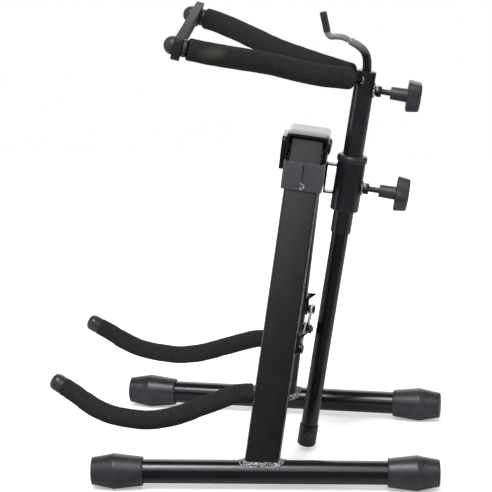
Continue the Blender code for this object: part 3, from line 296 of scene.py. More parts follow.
def enamel(name, dark, light, rough, peel=0.0012, painted_light=None):
    """Black enamel, sprayed on steel and stoved, which flows out almost level.

    The eye sees deep satin gloss with a cool sheen, a little cloudy, whose reflections waver slightly,
    and faint long marks where it has been rubbed. A function given as the last argument puts painted light
    over it: highlights on a leg's corners, glints on a weld, a reflection on a hook. An alkyd enamel's IOR is
    about 1.5.
    """
    sheen = {"IOR": 1.5, "Specular IOR Level": 0.5, "Specular Tint": "f6f9ff"}
    mat, tree, shader, place = new_material(name, sheen)
    # the passes of a spray gun leave clouds about 22 mm wide
    cloud = add(tree, "ShaderNodeTexNoise", "Fac",
                {"Vector": place, "Scale": per(22), "Detail": 3, "Roughness": ROUGHER})
    cloud = add(tree, "ShaderNodeMapRange", "Result", {"Value": cloud, "From Min": 0.3, "From Max": 0.7})
    # rubbed marks are 3 mm wide and eight times as long
    upright = add(tree, "ShaderNodeMapping", "Vector", {"Vector": place, "Scale": (1, 1, 0.12)})
    rubbed = add(tree, "ShaderNodeTexNoise", "Fac",
                 {"Vector": upright, "Scale": per(3), "Detail": 5, "Roughness": ROUGHER})
    rubbed = add(tree, "ShaderNodeMapRange", "Result",
                 {"Value": rubbed, "From Min": 0.6, "From Max": 0.8, "To Min": 0, "To Max": 0.12})
    colour = add(tree, "ShaderNodeMix", MIXED, {AMOUNT: cloud, FIRST: dark, SECOND: light}, data_type="RGBA")
    colour = add(tree, "ShaderNodeMix", MIXED, {AMOUNT: rubbed, FIRST: colour, SECOND: "3a3b3e"},
                 data_type="RGBA")
    gloss = add(tree, "ShaderNodeMapRange", "Result",
                {"Value": cloud, "To Min": rough - 0.015, "To Max": rough + 0.02})
    gloss = add(tree, "ShaderNodeMath", 0, {0: rubbed, 1: 0.25, 2: gloss}, operation="MULTIPLY_ADD")
    # orange peel, with dimples 1.6 mm across and about a micrometre deep
    dimples = add(tree, "ShaderNodeTexNoise", "Fac",
                  {"Vector": place, "Scale": per(1.6), "Detail": 0, "Roughness": ROUGHER})
    skin = add(tree, "ShaderNodeBump", "Normal", {"Height": dimples, "Distance": peel * MM, "Strength": 1})
    if painted_light:
        colour = painted_light(tree, place, colour)
    fill(tree, shader, {"Base Color": colour, "Roughness": gloss, "Normal": skin})
    return mat


def leg_corner_highlights(side):
    """Painted highlights along the leg's four corners: fine broken grey lines where its rounded corners catch
    the light.
    """
    def painted_light(tree, place, colour):
        start = mirrored(RIGHT_LEG.translation, side) * MM
        apart = add(tree, "ShaderNodeVectorMath", "Vector", {0: place, 1: start}, operation="SUBTRACT")
        # a place is on a corner where it is far from the leg's middle both across and front to back
        near = []
        for axis, size in ((mirrored(LEG_ACROSS, side), LEG_SIZE[0]), (LEG_DEEP, LEG_SIZE[1])):
            away = add(tree, "ShaderNodeVectorMath", "Value", {0: apart, 1: axis}, operation="DOT_PRODUCT")
            away = add(tree, "ShaderNodeMath", 0, {0: away}, operation="ABSOLUTE")
            rim = {"Value": away, "From Min": (size / 2 - LEG_HIGHLIGHT_START) * MM,
                   "From Max": (size / 2 - LEG_HIGHLIGHT_FULL) * MM}
            near.append(add(tree, "ShaderNodeMapRange", "Result", rim))
        corner = add(tree, "ShaderNodeMath", 0, {0: near[0], 1: near[1]}, operation="MULTIPLY")
        # the line breaks off about every 5 mm
        patchy = add(tree, "ShaderNodeTexNoise", "Fac",
                     {"Vector": place, "Scale": per(5), "Detail": 4, "Roughness": ROUGHER})
        patchy = add(tree, "ShaderNodeMapRange", "Result",
                     {"Value": patchy, "From Min": 0.4, "From Max": 0.6, "To Min": 0.25, "To Max": 0.9})
        # the corners are mixed to pale grey, a painted highlight broken up by the patches
        corner_highlight = add(tree, "ShaderNodeMath", 0, {0: corner, 1: patchy}, operation="MULTIPLY")
        return add(tree, "ShaderNodeMix", MIXED, {AMOUNT: corner_highlight, FIRST: colour, SECOND: "8b8c90"},
                   data_type="RGBA")
    return painted_light


def pale_hook_arm_reflection(tree, place, colour):
    """From the hook's bend on, the enamel is painted pale grey in small clouds: a painted reflection of the
    bright room on the arm.
    """
    foot = MAST.translation * MM
    apart = add(tree, "ShaderNodeVectorMath", "Vector", {0: place, 1: foot}, operation="SUBTRACT")
    up = MAST.to_3x3().col[2].copy()
    height = add(tree, "ShaderNodeVectorMath", "Value", {0: apart, 1: up}, operation="DOT_PRODUCT")
    pale_share = add(tree, "ShaderNodeMapRange", "Result",
               {"Value": height, "From Min": PALE_ARM_FROM * MM, "From Max": PALE_ARM_TO * MM})
    stain = add(tree, "ShaderNodeTexNoise", "Fac",
                {"Vector": place, "Scale": per(4), "Detail": 3, "Roughness": ROUGHER})
    stain = add(tree, "ShaderNodeMapRange", "Result", {"Value": stain, "From Min": 0.3, "From Max": 0.7})
    # the pale grey of the painted reflection, mottled in small clouds
    steel = add(tree, "ShaderNodeMix", MIXED, {AMOUNT: stain, FIRST: "64656a", SECOND: "7c7d82"},
                data_type="RGBA")
    return add(tree, "ShaderNodeMix", MIXED, {AMOUNT: pale_share, FIRST: colour, SECOND: steel}, data_type="RGBA")


def weld_glint_lines(tree, place, colour):
    """Enamel over a rough weld, with painted highlights: thin bright lines that wander over it, standing in
    for glints on its ripples.
    """
    # the lines are where a noise of the ripples' size, 1.7 mm, passes its middle value
    level = add(tree, "ShaderNodeTexNoise", "Fac",
                {"Vector": place, "Scale": per(1.7), "Detail": 2, "Roughness": ROUGHER})
    level = add(tree, "ShaderNodeMath", 0, {0: level, 1: 0.5}, operation="SUBTRACT")
    away = add(tree, "ShaderNodeMath", 0, {0: level}, operation="ABSOLUTE")
    line = add(tree, "ShaderNodeMapRange", "Result",
               {"Value": away, "From Min": 0.015, "From Max": 0.06, "To Min": 1, "To Max": 0})
    # the lines are mixed to pale grey, a painted highlight
    return add(tree, "ShaderNodeMix", MIXED, {AMOUNT: line, FIRST: colour, SECOND: "b4b5b9"},
               data_type="RGBA")


def moulded(name, dark, light, rough, grit, depth):
    """Rubber or plastic from a steel mould, whose eroded or polished wall gives it a sandy skin.

    The eye sees a soft, even sheen instead of clear reflections, a little under that of a plain surface
    with an IOR of 1.5, and paler clouds where dust sits.
    The skin's real grit, about 0.1 mm, is too fine to show, and is drawn three to six times as coarse.
    """
    mat, tree, shader, place = new_material(name, {"IOR": 1.5, "Specular IOR Level": 0.4})
    # dust from handling lies in clouds about 9 mm wide
    dust = add(tree, "ShaderNodeTexNoise", "Fac",
               {"Vector": place, "Scale": per(9), "Detail": 4, "Roughness": ROUGHER})
    dust = add(tree, "ShaderNodeMapRange", "Result", {"Value": dust, "From Min": 0.3, "From Max": 0.7})
    skin = add(tree, "ShaderNodeTexNoise", "Fac",
               {"Vector": place, "Scale": per(grit), "Detail": 2, "Roughness": ROUGHER})
    colour = add(tree, "ShaderNodeMix", MIXED, {AMOUNT: dust, FIRST: dark, SECOND: light}, data_type="RGBA")
    sheen = add(tree, "ShaderNodeMapRange", "Result",
                {"Value": skin, "From Min": 0.3, "From Max": 0.7,
                 "To Min": rough - 0.06, "To Max": rough + 0.08})
    sandy = add(tree, "ShaderNodeBump", "Normal", {"Height": skin, "Distance": depth * MM, "Strength": 1})
    fill(tree, shader, {"Base Color": colour, "Roughness": sheen, "Normal": sandy})
    return mat


def nitrile_foam(name, rubbed_at=None):
    """Closed-cell nitrile foam, extruded as a tube, with its cells open where its skin is rubbed through.

    The eye sees a dead matt dark grey, finely pitted and cloudy, with paler flecks and, where it has
    been rubbed, a dusty brown patch. The open cells trap most of a sheen that goes with an IOR of 1.5.
    """
    mat, tree, shader, place = new_material(name, {"IOR": 1.5, "Specular IOR Level": 0.2})
    # the real cells are 0.3 to 0.5 mm across, too fine to show, and are drawn at 0.9 mm
    cells = add(tree, "ShaderNodeTexVoronoi", "Distance", {"Vector": place, "Scale": per(0.9)})
    cloud = add(tree, "ShaderNodeTexNoise", "Fac",
                {"Vector": place, "Scale": per(7), "Detail": 4, "Roughness": ROUGHER})
    cloud = add(tree, "ShaderNodeMapRange", "Result", {"Value": cloud, "From Min": 0.3, "From Max": 0.7})
    # lint and broken cells are flecks about 1.7 mm across
    fleck = add(tree, "ShaderNodeTexNoise", "Fac",
                {"Vector": place, "Scale": per(1.7), "Detail": 3, "Roughness": ROUGHER})
    fleck = add(tree, "ShaderNodeMapRange", "Result",
                {"Value": fleck, "From Min": 0.35, "From Max": 0.68, "To Min": 0, "To Max": 0.6})
    # the pits are painted darker: a painted shade in the open cells
    cell_shade = add(tree, "ShaderNodeMapRange", "Result",
               {"Value": cells, "From Min": 0.1, "From Max": 0.6, "To Min": 0, "To Max": 0.55})
    colour = add(tree, "ShaderNodeMix", MIXED, {AMOUNT: cloud, FIRST: "1d1d20", SECOND: "27272a"},
                 data_type="RGBA")
    for amount, shade in ((fleck, "36363a"), (cell_shade, "121214")):
        colour = add(tree, "ShaderNodeMix", MIXED, {AMOUNT: amount, FIRST: colour, SECOND: shade},
                     data_type="RGBA")
    if rubbed_at:
        apart = add(tree, "ShaderNodeVectorMath", "Vector", {0: place, 1: point(rubbed_at)},
                    operation="SUBTRACT")
        apart = add(tree, "ShaderNodeMapping", "Vector", {"Vector": apart, "Scale": (0.5, 0.55, 1.3)})
        far = add(tree, "ShaderNodeVectorMath", "Value", {0: apart}, operation="LENGTH")
        patch = add(tree, "ShaderNodeMapRange", "Result",
                    {"Value": far, "From Min": 3 * MM, "From Max": 9 * MM, "To Min": 0.6, "To Max": 0})
        colour = add(tree, "ShaderNodeMix", MIXED, {AMOUNT: patch, FIRST: colour, SECOND: "46423a"},
                     data_type="RGBA")
    matt = add(tree, "ShaderNodeMapRange", "Result", {"Value": cloud, "To Min": 0.86, "To Max": 0.97})
    # the skin swells softly over about 2.5 mm, under the pits
    swells = add(tree, "ShaderNodeTexNoise", "Fac",
                 {"Vector": place, "Scale": per(2.5), "Detail": 3, "Roughness": ROUGHER})
    soft = add(tree, "ShaderNodeBump", "Normal", {"Height": swells, "Distance": 0.12 * MM, "Strength": 1})
    pitted = add(tree, "ShaderNodeBump", "Normal",
                 {"Height": cells, "Distance": 0.16 * MM, "Strength": 1, "Normal": soft})
    fill(tree, shader, {"Base Color": colour, "Roughness": matt, "Normal": pitted})
    return mat


def zinc_plate(name, dark, light, rough):
    """Zinc, barrel plated on steel and passivated: a dull metal, warm or grey, stained in small clouds.

    The crystals of the real plate are too fine to show, and are drawn as a grain of 0.5 mm.
    """
    mat, tree, shader, place = new_material(name, {"Metallic": 1})
    stain = add(tree, "ShaderNodeTexNoise", "Fac",
                {"Vector": place, "Scale": per(2.4), "Detail": 4, "Roughness": ROUGHER})
    stain = add(tree, "ShaderNodeMapRange", "Result", {"Value": stain, "From Min": 0.3, "From Max": 0.7})
    colour = add(tree, "ShaderNodeMix", MIXED, {AMOUNT: stain, FIRST: dark, SECOND: light}, data_type="RGBA")
    dull = add(tree, "ShaderNodeMapRange", "Result", {"Value": stain, "To Min": rough + 0.1, "To Max": rough})
    crystals = add(tree, "ShaderNodeTexNoise", "Fac",
                   {"Vector": place, "Scale": per(0.5), "Detail": 2, "Roughness": ROUGHER})
    skin = add(tree, "ShaderNodeBump", "Normal", {"Height": crystals, "Distance": 0.01 * MM, "Strength": 1})
    fill(tree, shader, {"Base Color": colour, "Roughness": dull, "Normal": skin})
    return mat


# Glossiest on drawn tube, duller on pressed sheet, and greyest on the ring, rubbed all over
TUBE_ENAMEL = enamel("enamel_on_tube", "09090a", "0e0e10", 0.22)
MAST_ENAMEL = enamel("enamel_on_mast", "151518", "1e1e22", 0.24)
SHEET_ENAMEL = enamel("enamel_on_sheet", "0a0a0c", "0f1012", 0.26)
RING_ENAMEL = enamel("enamel_on_ring", "3c3d41", "434448", 0.3)
# A weld's enamel lies over coarse ripples, 0.06 mm deep, with painted highlights in thin lines
WELD_ENAMEL = enamel("enamel_on_weld", "111113", "1d1d20", 0.16, 0.06, weld_glint_lines)
# A hook's lies over polished rod, with a painted reflection in pale grey on its arm
HOOK_ENAMEL = enamel("enamel_on_hook", "0a0a0b", "111113", 0.16, 0.0004, pale_hook_arm_reflection)
# Foot caps, hook sleeve and bush are injection moulded in soft PVC, with a slight wet sheen
SOFT_PVC = moulded("moulded_soft_pvc", "222327", "2e2f33", 0.34, 0.5, 0.012)
# The strap is pressed natural rubber, nearly without sheen
PRESSED_RUBBER = moulded("pressed_rubber", "131416", "1a1b1d", 0.7, 0.4, 0.02)
# Knobs, collars and ball ends are ABS from a spark-eroded mould, and the arms' tips from a polished one
GRAINED_ABS = moulded("moulded_grained_abs", "26272b", "33343a", 0.44, 0.3, 0.015)
SMOOTH_ABS = moulded("moulded_smooth_abs", "28282b", "333336", 0.24, 0.6, 0.006)
# Tube plugs and end cap are polyethylene, waxy and dark; the button's rim and dot are painted paler, a
# painted highlight
POLYETHYLENE = moulded("moulded_polyethylene", "141416", "1b1b1e", 0.26, 0.6, 0.006)
HIGHLIGHT_POLYETHYLENE = moulded("polyethylene_painted_highlight", "3a3a3c", "4c4c4e", 0.3, 0.6, 0.01)
YELLOW_ZINC = zinc_plate("yellow_zinc_screw", "5c5a50", "8a8778", 0.34)
GREY_ZINC = zinc_plate("grey_zinc_bolt", "373633", "716f69", 0.3)
FOAM = nitrile_foam("nitrile_foam")
RUBBED_FOAM = nitrile_foam("rubbed_nitrile_foam", (96, -28, 400))


def soft_shading(angle):
    """Geometry nodes that smooth the faces, and keep edges sharper than the angle crisp."""
    tree = bpy.data.node_groups.new("soft_shading", "GeometryNodeTree")
    for way in ("INPUT", "OUTPUT"):
        tree.interface.new_socket("Geometry", in_out=way, socket_type="NodeSocketGeometry")
    start = add(tree, "NodeGroupInput")
    plain = add(tree, "GeometryNodeRemoveAttribute", 0, {"Geometry": start, "Name": "custom_normal"})
    corner = add(tree, "GeometryNodeInputMeshEdgeAngle", "Unsigned Angle")
    crisp = add(tree, "FunctionNodeCompare", 0, {0: corner, 1: math.radians(angle)},
                data_type="FLOAT", operation="GREATER_THAN")
    faces = add(tree, "GeometryNodeSetShadeSmooth", 0, {"Geometry": plain, "Shade Smooth": True},
                domain="FACE")
    edges = add(tree, "GeometryNodeSetShadeSmooth", 0,
                {"Geometry": faces, "Selection": crisp, "Shade Smooth": False}, domain="EDGE")
    add(tree, "NodeGroupOutput", None, {0: edges})
    return tree


SOFT_SHADING = soft_shading(35)
MERGE_DISTANCE = 0.002
ROUNDED_FROM = math.radians(40)


def dress(node, mat, edge=0.0):
    """Gives a CAD node its finish, smooth shading and, where edge is set, rounded edges."""
    obj = NODES[node]
    for slot in obj.material_slots:
        slot.material = mat
    weld = obj.modifiers.new("weld", "WELD")
    weld.merge_threshold = MERGE_DISTANCE * MM
    if edge:
        bevel = obj.modifiers.new("edge", "BEVEL")
        bevel.width = edge * MM
        bevel.segments = 2
        bevel.limit_method = "ANGLE"
        bevel.angle_limit = ROUNDED_FROM
    shade = obj.modifiers.new("shade", "NODES")
    shade.node_group = SOFT_SHADING


def piece(name, bm, mat, body, slot, *replaced):
    """Makes an object from bmesh data in world metres and lets it ride on a body."""
    bmesh.ops.recalc_face_normals(bm, faces=bm.faces)
    mesh = bpy.data.meshes.new(name)
    for face in bm.faces:
        face.smooth = True
    bm.to_mesh(mesh)
    bm.free()
    mesh.materials.append(mat)
    obj = bpy.data.objects.new(name, mesh)
    bpy.context.scene.collection.objects.link(obj)
    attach(obj, body)
    if replaced:
        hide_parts(*replaced)
    return obj


def curve_through(knots, step):
    """Points about step millimetres apart on a smooth curve through the knots."""
    knots = [Vector(k) for k in knots]
    ends = [knots[0] * 2 - knots[1]] + knots + [knots[-1] * 2 - knots[-2]]
    path = [knots[0]]
    for a, b, c, d in zip(ends, ends[1:], ends[2:], ends[3:]):
        count = max(1, round((c - b).length / step))
        for i in range(1, count + 1):
            t = i / count
            path.append(0.5 * (2 * b + (c - a) * t + (2 * a - 5 * b + 4 * c - d) * t ** 2
                               + (3 * b - a - 3 * c + d) * t ** 3))
    return path


def even_path(points, closed=True, step=BEAD_STEP):
    """The same line with points step apart."""
    points = [Vector(p) for p in points] + ([Vector(points[0])] if closed else [])
    path, spare = [], 0.0
    for a, b in zip(points, points[1:]):
        gap = (b - a).length
        at = spare
        while at < gap:
            path.append(a.lerp(b, at / gap))
            at += step
        spare = at - gap
    return path


def lengths_along(path):
    """The length from the path's start to each of its points."""
    run = [0.0]
    for a, b in zip(path, path[1:]):
        run.append(run[-1] + (b - a).length)
    return run


def trimmed(path, start, short, step):
    """The path from start millimetres along it to short of its end, in equal steps of about step."""
    run = lengths_along(path)
    count = round((run[-1] - short - start) / step)
    found, k = [], 0
    for i in range(count + 1):
        at = start + (run[-1] - short - start) * i / count
        while run[k + 1] < at:
            k += 1
        found.append(path[k].lerp(path[k + 1], (at - run[k]) / (run[k + 1] - run[k])))
    return found


def circle(middle, axis, radius, count=48):
    """Points of a circle round an axis."""
    axis = Vector(axis).normalized()
    side = axis.orthogonal().normalized()
    up = axis.cross(side)
    turns = (math.tau * i / count for i in range(count))
    return [Vector(middle) + side * radius * math.cos(a) + up * radius * math.sin(a) for a in turns]


def frames_along(path, closed=False):
    """(point, side, up) at each point of a path, turned as little as possible on the way."""
    count = len(path)
    found, side = [], None
    for i, p in enumerate(path):
        before = path[i - 1] if i or closed else p
        after = path[(i + 1) % count] if i + 1 < count or closed else p
        along = (after - before).normalized()
        if side is None:
            side = along.cross(Vector((0, 0, 1)))
            side = side if side.length > 0.1 else along.cross(Vector((0, 1, 0)))
        side = (side - along * side.dot(along)).normalized()
        found.append((p, side, along.cross(side)))
    return found


def join_rings(bm, rings):
    """Faces between each ring of vertices and the next."""
    for low, high in zip(rings, rings[1:]):
        for k in range(len(low)):
            m = (k + 1) % len(low)
            bm.faces.new((low[k], low[m], high[m], high[k]))


def tube_rings(bm, path, radius, sides, closed=False):
    """A skin of rings of vertices round a path. radius(i, angle) is in millimetres."""
    rings = []
    for i, (p, side, up) in enumerate(frames_along(path, closed)):
        ring = []
        for k in range(sides):
            a = math.tau * k / sides
            r = radius(i, a)
            ring.append(bm.verts.new((p + side * (r * math.cos(a)) + up * (r * math.sin(a))) * MM))
        rings.append(ring)
    join_rings(bm, rings + ([rings[0]] if closed else []))
    return rings


def tube_along(path, radius, sides, closed=False):
    """A tube round a path, with a face over each end, or with its ends joined where closed is set."""
    bm = bmesh.new()
    rings = tube_rings(bm, path, radius, sides, closed)
    if not closed:
        bm.faces.new(rings[0])
        bm.faces.new(rings[-1])
    return bm


def bore_ring(bm, ring, middle, inward):
    """Joins a ring to one round a hole of the foam's bore, inward from the middle, and gives that one."""
    hole = []
    for v in ring:
        out = (v.co - middle * MM).normalized()
        hole.append(bm.verts.new((middle + inward) * MM + out * FOAM_BORE * MM))
    join_rings(bm, [ring, hole])
    return hole


def foam_sleeve(name, node, body, knots, radius, mat, thin_end=0.0):
    """A foam sleeve: a soft tube with uneven skin, folds inside its bends, and rounded cut ends.

    Where thin_end is set, the sleeve is a little thinner over that length at its far end.
    """
    path = curve_through(knots, FOAM_STEP)
    run = lengths_along(path)
    total = run[-1]
    last = len(path) - 1
    frames = frames_along(path)
    bends = []
    for i, b in enumerate(path):
        a, c = path[max(i - BEND_REACH, 0)], path[min(i + BEND_REACH, last)]
        bends.append((c - b).normalized() - (b - a).normalized() if 0 < i < last else Vector())

    def skin(i, a):
        p, side, up = frames[i]
        out = side * math.cos(a) + up * math.sin(a)
        to_end = total - run[i]
        r = radius - CUT_DROP * max(0.0, 1 - min(run[i], to_end) / CUT_ROUND) ** 2
        if to_end < thin_end:
            r -= THIN_DROP * min(1.0, (thin_end - to_end) / THIN_RUN)
        wave = 0.5 + 0.5 * math.sin(run[i] * FOLD_RATE + 2 * noise.noise(p * 0.08))
        r -= max(0.0, out.dot(bends[i])) * FOLD_DEPTH * wave
        return r + sum(depth * noise.noise((p + out * radius) * rate) for depth, rate in HOLLOWS)

    bm = bmesh.new()
    rings = tube_rings(bm, path, skin, FOAM_SIDES)
    for ring, end, next_in in ((rings[0], path[0], path[1]), (rings[-1], path[-1], path[-2])):
        mouth = bore_ring(bm, ring, end, Vector())
        floor = bore_ring(bm, mouth, end, (next_in - end).normalized() * FOAM_BORE_DEPTH)
        bm.faces.new(floor)
    obj = piece(name, bm, mat, body, "black_foam", node)


def arm_rod_line(side):
    """Centre line of a support arm's rod: smooth through its bends, then straight to its tip."""
    line = []
    for forward, height in ARM_PATH + (ARM_END,):
        # from level ground at the foot crossing into the leaning plane of the leg
        back = -forward * math.cos(LEAN) - height * math.sin(LEAN)
        up = (height * math.cos(LEAN) - forward * math.sin(LEAN)) / math.cos(SPLAY)
        out = math.tan(ARM_FLARE) * max(-back, 0.0)
        line.append(mirrored(RIGHT_LEG @ Vector((out, back, up - LEG_LENGTH)), side))
    return curve_through(line[:-1], FOAM_STEP) + [line[-1]]


def fork_rod_line(side):
    """Centre line of a fork rod, up to the collar at its end. The left rod is bent up a little."""
    lift = FORK_LEFT_LIFT if side < 0 else 0.0
    x, forward, height = FORK_END
    end = Vector((side * x, -forward, height + lift))
    line = [Vector((side * x, -f, w + lift * (f / forward) ** 2)) for x, f, w in FORK_PATH]
    way = Vector((0, -math.cos(FORK_END_RISE), math.sin(FORK_END_RISE)))
    line.append(end - way * FORK_END_STRAIGHT)
    return [FORK @ p for p in curve_through(line, FOAM_STEP) + [end]]


def make_sleeves():
    """The foam sleeves of the support arms and of the fork."""
    for word, side in SIDES:
        knots = trimmed(arm_rod_line(side), ARM_FOAM_START, ARM_FOAM_SHORT, FOAM_SPAN)
        foam_sleeve(word + "_arm_sleeve", word + "_arm_foam", word + "_leg", knots, ARM_FOAM_RADIUS, FOAM,
                    ARM_FOAM_THIN)
    for word, side in SIDES:
        knots = trimmed(fork_rod_line(side), FORK_FOAM_STARTS[word], FORK_FOAM_SHORT, FOAM_SPAN)
        foam_sleeve(word + "_yoke_sleeve", word + "_yoke_foam", "yoke", knots, FORK_FOAM_RADIUS,
                    RUBBED_FOAM if side > 0 else FOAM)


def weld_bead(name, path, size, body, closed=True, lumps=0.28):
    """An enamelled weld bead: overlapping ripples, uneven in width, sunk half into the joint."""
    def bead(i, a):
        p = path[i]
        ripple = (i * BEAD_STEP / BEAD_PITCH) % 1.0
        lump = lumps * (0.65 * noise.noise(p * 0.35) + 0.5 * noise.noise(p * 1.3 + Vector((a, 0, 0))))
        return size * (BEAD_LOW + BEAD_RISE * ripple + lump)

    bm = tube_along(path, bead, BEAD_SIDES, closed)
    piece(name, bm, WELD_ENAMEL, body, "black_painted_steel")


def leg_outline():
    """The leg's cross-section with its rounded corners: across and deep."""
    half_x, half_y = LEG_SIZE[0] / 2, LEG_SIZE[1] / 2
    points = []
    for sx, sy, start in ((1, 1, 0), (-1, 1, 90), (-1, -1, 180), (1, -1, 270)):
        for k in range(6):
            a = math.radians(start + 18 * k)
            points.append((sx * (half_x - LEG_CORNER) + LEG_CORNER * math.cos(a),
                           sy * (half_y - LEG_CORNER) + LEG_CORNER * math.sin(a), 0))
    return points


def foot_weld(side):
    """Where the leg meets the top of its foot tube: each point with its way out from the leg's outline."""
    along = mirrored(FOOT_ALONG, side)
    middle = mirrored(FOOT_MIDDLE, side)
    down = -mirrored(LEG_AXIS, side)
    across = mirrored(LEG_ACROSS, side)
    line = []
    for p in even_path(leg_outline()):
        start = middle - down * ABOVE_FOOT + across * p.x + LEG_DEEP * p.y
        # where a line along the leg meets a round tube
        flat = start - middle - along * (start - middle).dot(along)
        run = down - along * down.dot(along)
        a, b, c = run.dot(run), 2 * flat.dot(run), flat.dot(flat) - FOOT_RADIUS ** 2
        spot = start + down * ((-b - math.sqrt(b * b - 4 * a * c)) / (2 * a))
        way = [math.copysign(max(abs(v) - size / 2 + LEG_CORNER, 0.0), v) for v, size in zip(p, LEG_SIZE)]
        line.append((spot, Vector(way).normalized()))
    return line


def beside_weld(side, spot, way, off):
    """A point of the foot tube's surface, off millimetres further out from the leg."""
    along = mirrored(FOOT_ALONG, side)
    middle = mirrored(FOOT_MIDDLE, side)
    at = (spot - middle).dot(along)
    out = spot - middle - along * at
    out.rotate(Quaternion(along, way.x * side * off / FOOT_RADIUS))
    return middle + along * (at + way.y * off) + out


def make_foot_weld(side, word):
    """The foot's rough weld: a bead in the corner, two that wander beside it, and drops of spatter."""
    line = foot_weld(side)
    for k, (off, wander, size) in enumerate(FOOT_BEADS):
        path = [beside_weld(side, spot, way, off + wander * noise.noise(spot * 0.5 + Vector((7 * k, 0, 0))))
                for spot, way in line]
        weld_bead(f"{word}_foot_weld_{k + 1}", even_path(path), size, word + "_leg", lumps=FOOT_BEAD_LUMPS)
    bm = bmesh.new()
    for i in range(SPATTER_COUNT):
        spot, way = line[(i * 37) % len(line)]
        off = SPATTER_OFF + SPATTER_SPREAD * abs(noise.noise(spot * 2.1 + Vector((i, 0, 0))))
        spot = beside_weld(side, spot, way, off)
        size = SPATTER_RADII[i % len(SPATTER_RADII)]
        drop = bmesh.ops.create_icosphere(bm, subdivisions=2, radius=size * MM)
        for v in drop["verts"]:
            v.co = v.co * (1 + 0.3 * noise.noise(v.co * 2500 + spot)) + spot * MM
    piece(word + "_foot_spatter", bm, WELD_ENAMEL, word + "_leg", "black_painted_steel")


def make_ring_seam():
    """The rolled edges of the sheet ring's seam, and the tack weld that closes it."""
    for k, off in enumerate((-SEAM_LIP, SEAM_LIP)):
        path = []
        for t in range(SEAM_STEPS + 1):
            waver = 0.3 * noise.noise(Vector((0, off, t * 0.35)))
            path.append(SEAM_LOW.lerp(SEAM_HIGH, t / SEAM_STEPS) + Vector((0, off + waver, 0)))
        bm = tube_along(path, lambda i, a: SEAM_LIP_RADIUS, BEAD_SIDES)
        piece(f"ring_seam_{k + 1}", bm, RING_ENAMEL, "head", "black_painted_steel")
    tack = even_path(curve_through(RING_TACK, BEAD_STEP), False)
    weld_bead("ring_tack", tack, 0.8, "head", closed=False, lumps=0.7)


def make_welds():
    """Weld beads at every joint that the maker welds."""
    for word, side in SIDES:
        make_foot_weld(side, word)
        arm_root = circle(mirrored(ARM_WELD, side), mirrored(ARM_WELD_AXIS, side), ROD_RADIUS + 0.3)
        weld_bead(word + "_arm_weld", even_path(arm_root), 1.1, word + "_leg")
        rod_root = circle(FORK @ mirrored(FORK_WELD, side), mirrored(FORK_WELD_AXIS, side), ROD_RADIUS + 0.4)
        weld_bead(word + "_fork_weld", even_path(rod_root), 1.0, "yoke")
    make_ring_seam()
    # the nuts that take the lock screws are welded to the tubes
    nuts = (("lower", "head", MAST, LOWER_NUT_WELD, LOWER_SCREW[0]),
            ("upper", "yoke", FORK, UPPER_NUT_WELD, UPPER_SCREW[0]))
    for word, body, mast, behind, height in nuts:
        back = mast.to_3x3().col[1].copy()
        seat = circle(mast @ Vector((0, behind, height)), back, NUT_WELD_RADIUS)
        weld_bead(word + "_nut_weld", even_path(seat), 1.0, body, lumps=0.4)


def make_hook():
    """The cranked bow rod: a slow taper, a turned groove, then the slimmer arm with its rubber sleeve."""
    path = curve_through([FORK @ Vector((0, -f, w)) for f, w in HOOK_PATH], HOOK_STEP)
    run = lengths_along(path)

    def rod(i, a):
        if run[i] < HOOK_NECK:
            return HOOK_LOW_RADIUS + (HOOK_NECK_RADIUS - HOOK_LOW_RADIUS) * run[i] / HOOK_NECK
        off = abs(run[i] - HOOK_NECK - GROOVE_PAST_NECK)
        return HOOK_ARM_RADIUS - GROOVE_DEPTH * max(0.0, 1 - off / GROOVE_HALF_WIDTH)

    bm = tube_along(path, rod, 32)
    piece("bow_rod", bm, HOOK_ENAMEL, "bow_stem", "black_painted_steel", "bow_hook")

    path = curve_through([FORK @ Vector((0, -f, w)) for f, w in TIP_PATH], TIP_STEP)
    last = len(path) - 1

    def sleeve(i, a):
        mouth = (i * TIP_STEP + TIP_MOUTH_START) / TIP_MOUTH_ROUND
        rounded = min(1.0, (last - i) * TIP_STEP / TIP_END_ROUND, mouth)
        return TIP_RADIUS * math.sqrt(max(0.02, 1 - (1 - rounded) ** 2))

    bm = tube_along(path, sleeve, 32)
    piece("bow_rod_sleeve", bm, SOFT_PVC, "bow_stem", "grey_black_rubber", "bow_hook_tip")


def cap_profile():
    """The cap's outline in small steps, with the ridges of its outer cone cut in."""
    ridges = [RIDGE_START + RIDGE_PITCH * k for k in range(RIDGE_COUNT)]
    profile = []
    for (r0, z0), (r1, z1) in zip(CAP_OUTLINE, CAP_OUTLINE[1:]):
        steps = max(1, int(abs(z1 - z0) / CAP_STEP))
        profile += [(r0 + (r1 - r0) * k / steps, z0 + (z1 - z0) * k / steps) for k in range(steps)]
    cut = []
    for r, z in profile[1:] + [CAP_OUTLINE[-1]]:
        off = min(abs(z - ridge) for ridge in ridges)
        if off < RIDGE_HALF_WIDTH and r > RIDGED_FROM_RADIUS and z < RIDGED_TO:
            r -= RIDGE_DEPTH * (0.5 + 0.5 * math.cos(math.pi * off / RIDGE_HALF_WIDTH))
        cut.append((r, z))
    return cut


def make_cap(name, node, body, side, at, outward):
    """A rubber foot cap turned as a double cone, with ridges near its end and a flat where it stands."""
    along = mirrored(FOOT_ALONG, side)
    face = mirrored(FOOT_MIDDLE, side) + along * at
    out = Vector((0, 0, 1))
    flank = along.cross(out)
    bm = bmesh.new()
    rings = []
    for r, z in cap_profile():
        ring = []
        for k in range(CAP_SIDES):
            a = math.tau * k / CAP_SIDES
            co = face - along * (outward * z) + (out * math.sin(a) + flank * math.cos(a)) * r
            co.z = max(co.z, 0.0)
            ring.append(bm.verts.new(co * MM))
        rings.append(ring)
    join_rings(bm, rings)
    middle = bm.verts.new(face * MM)
    for k in range(CAP_SIDES):
        bm.faces.new((middle, rings[0][k], rings[0][(k + 1) % CAP_SIDES]))
    bm.faces.new(rings[-1])
    piece(name, bm, SOFT_PVC, body, "grey_black_rubber", node)


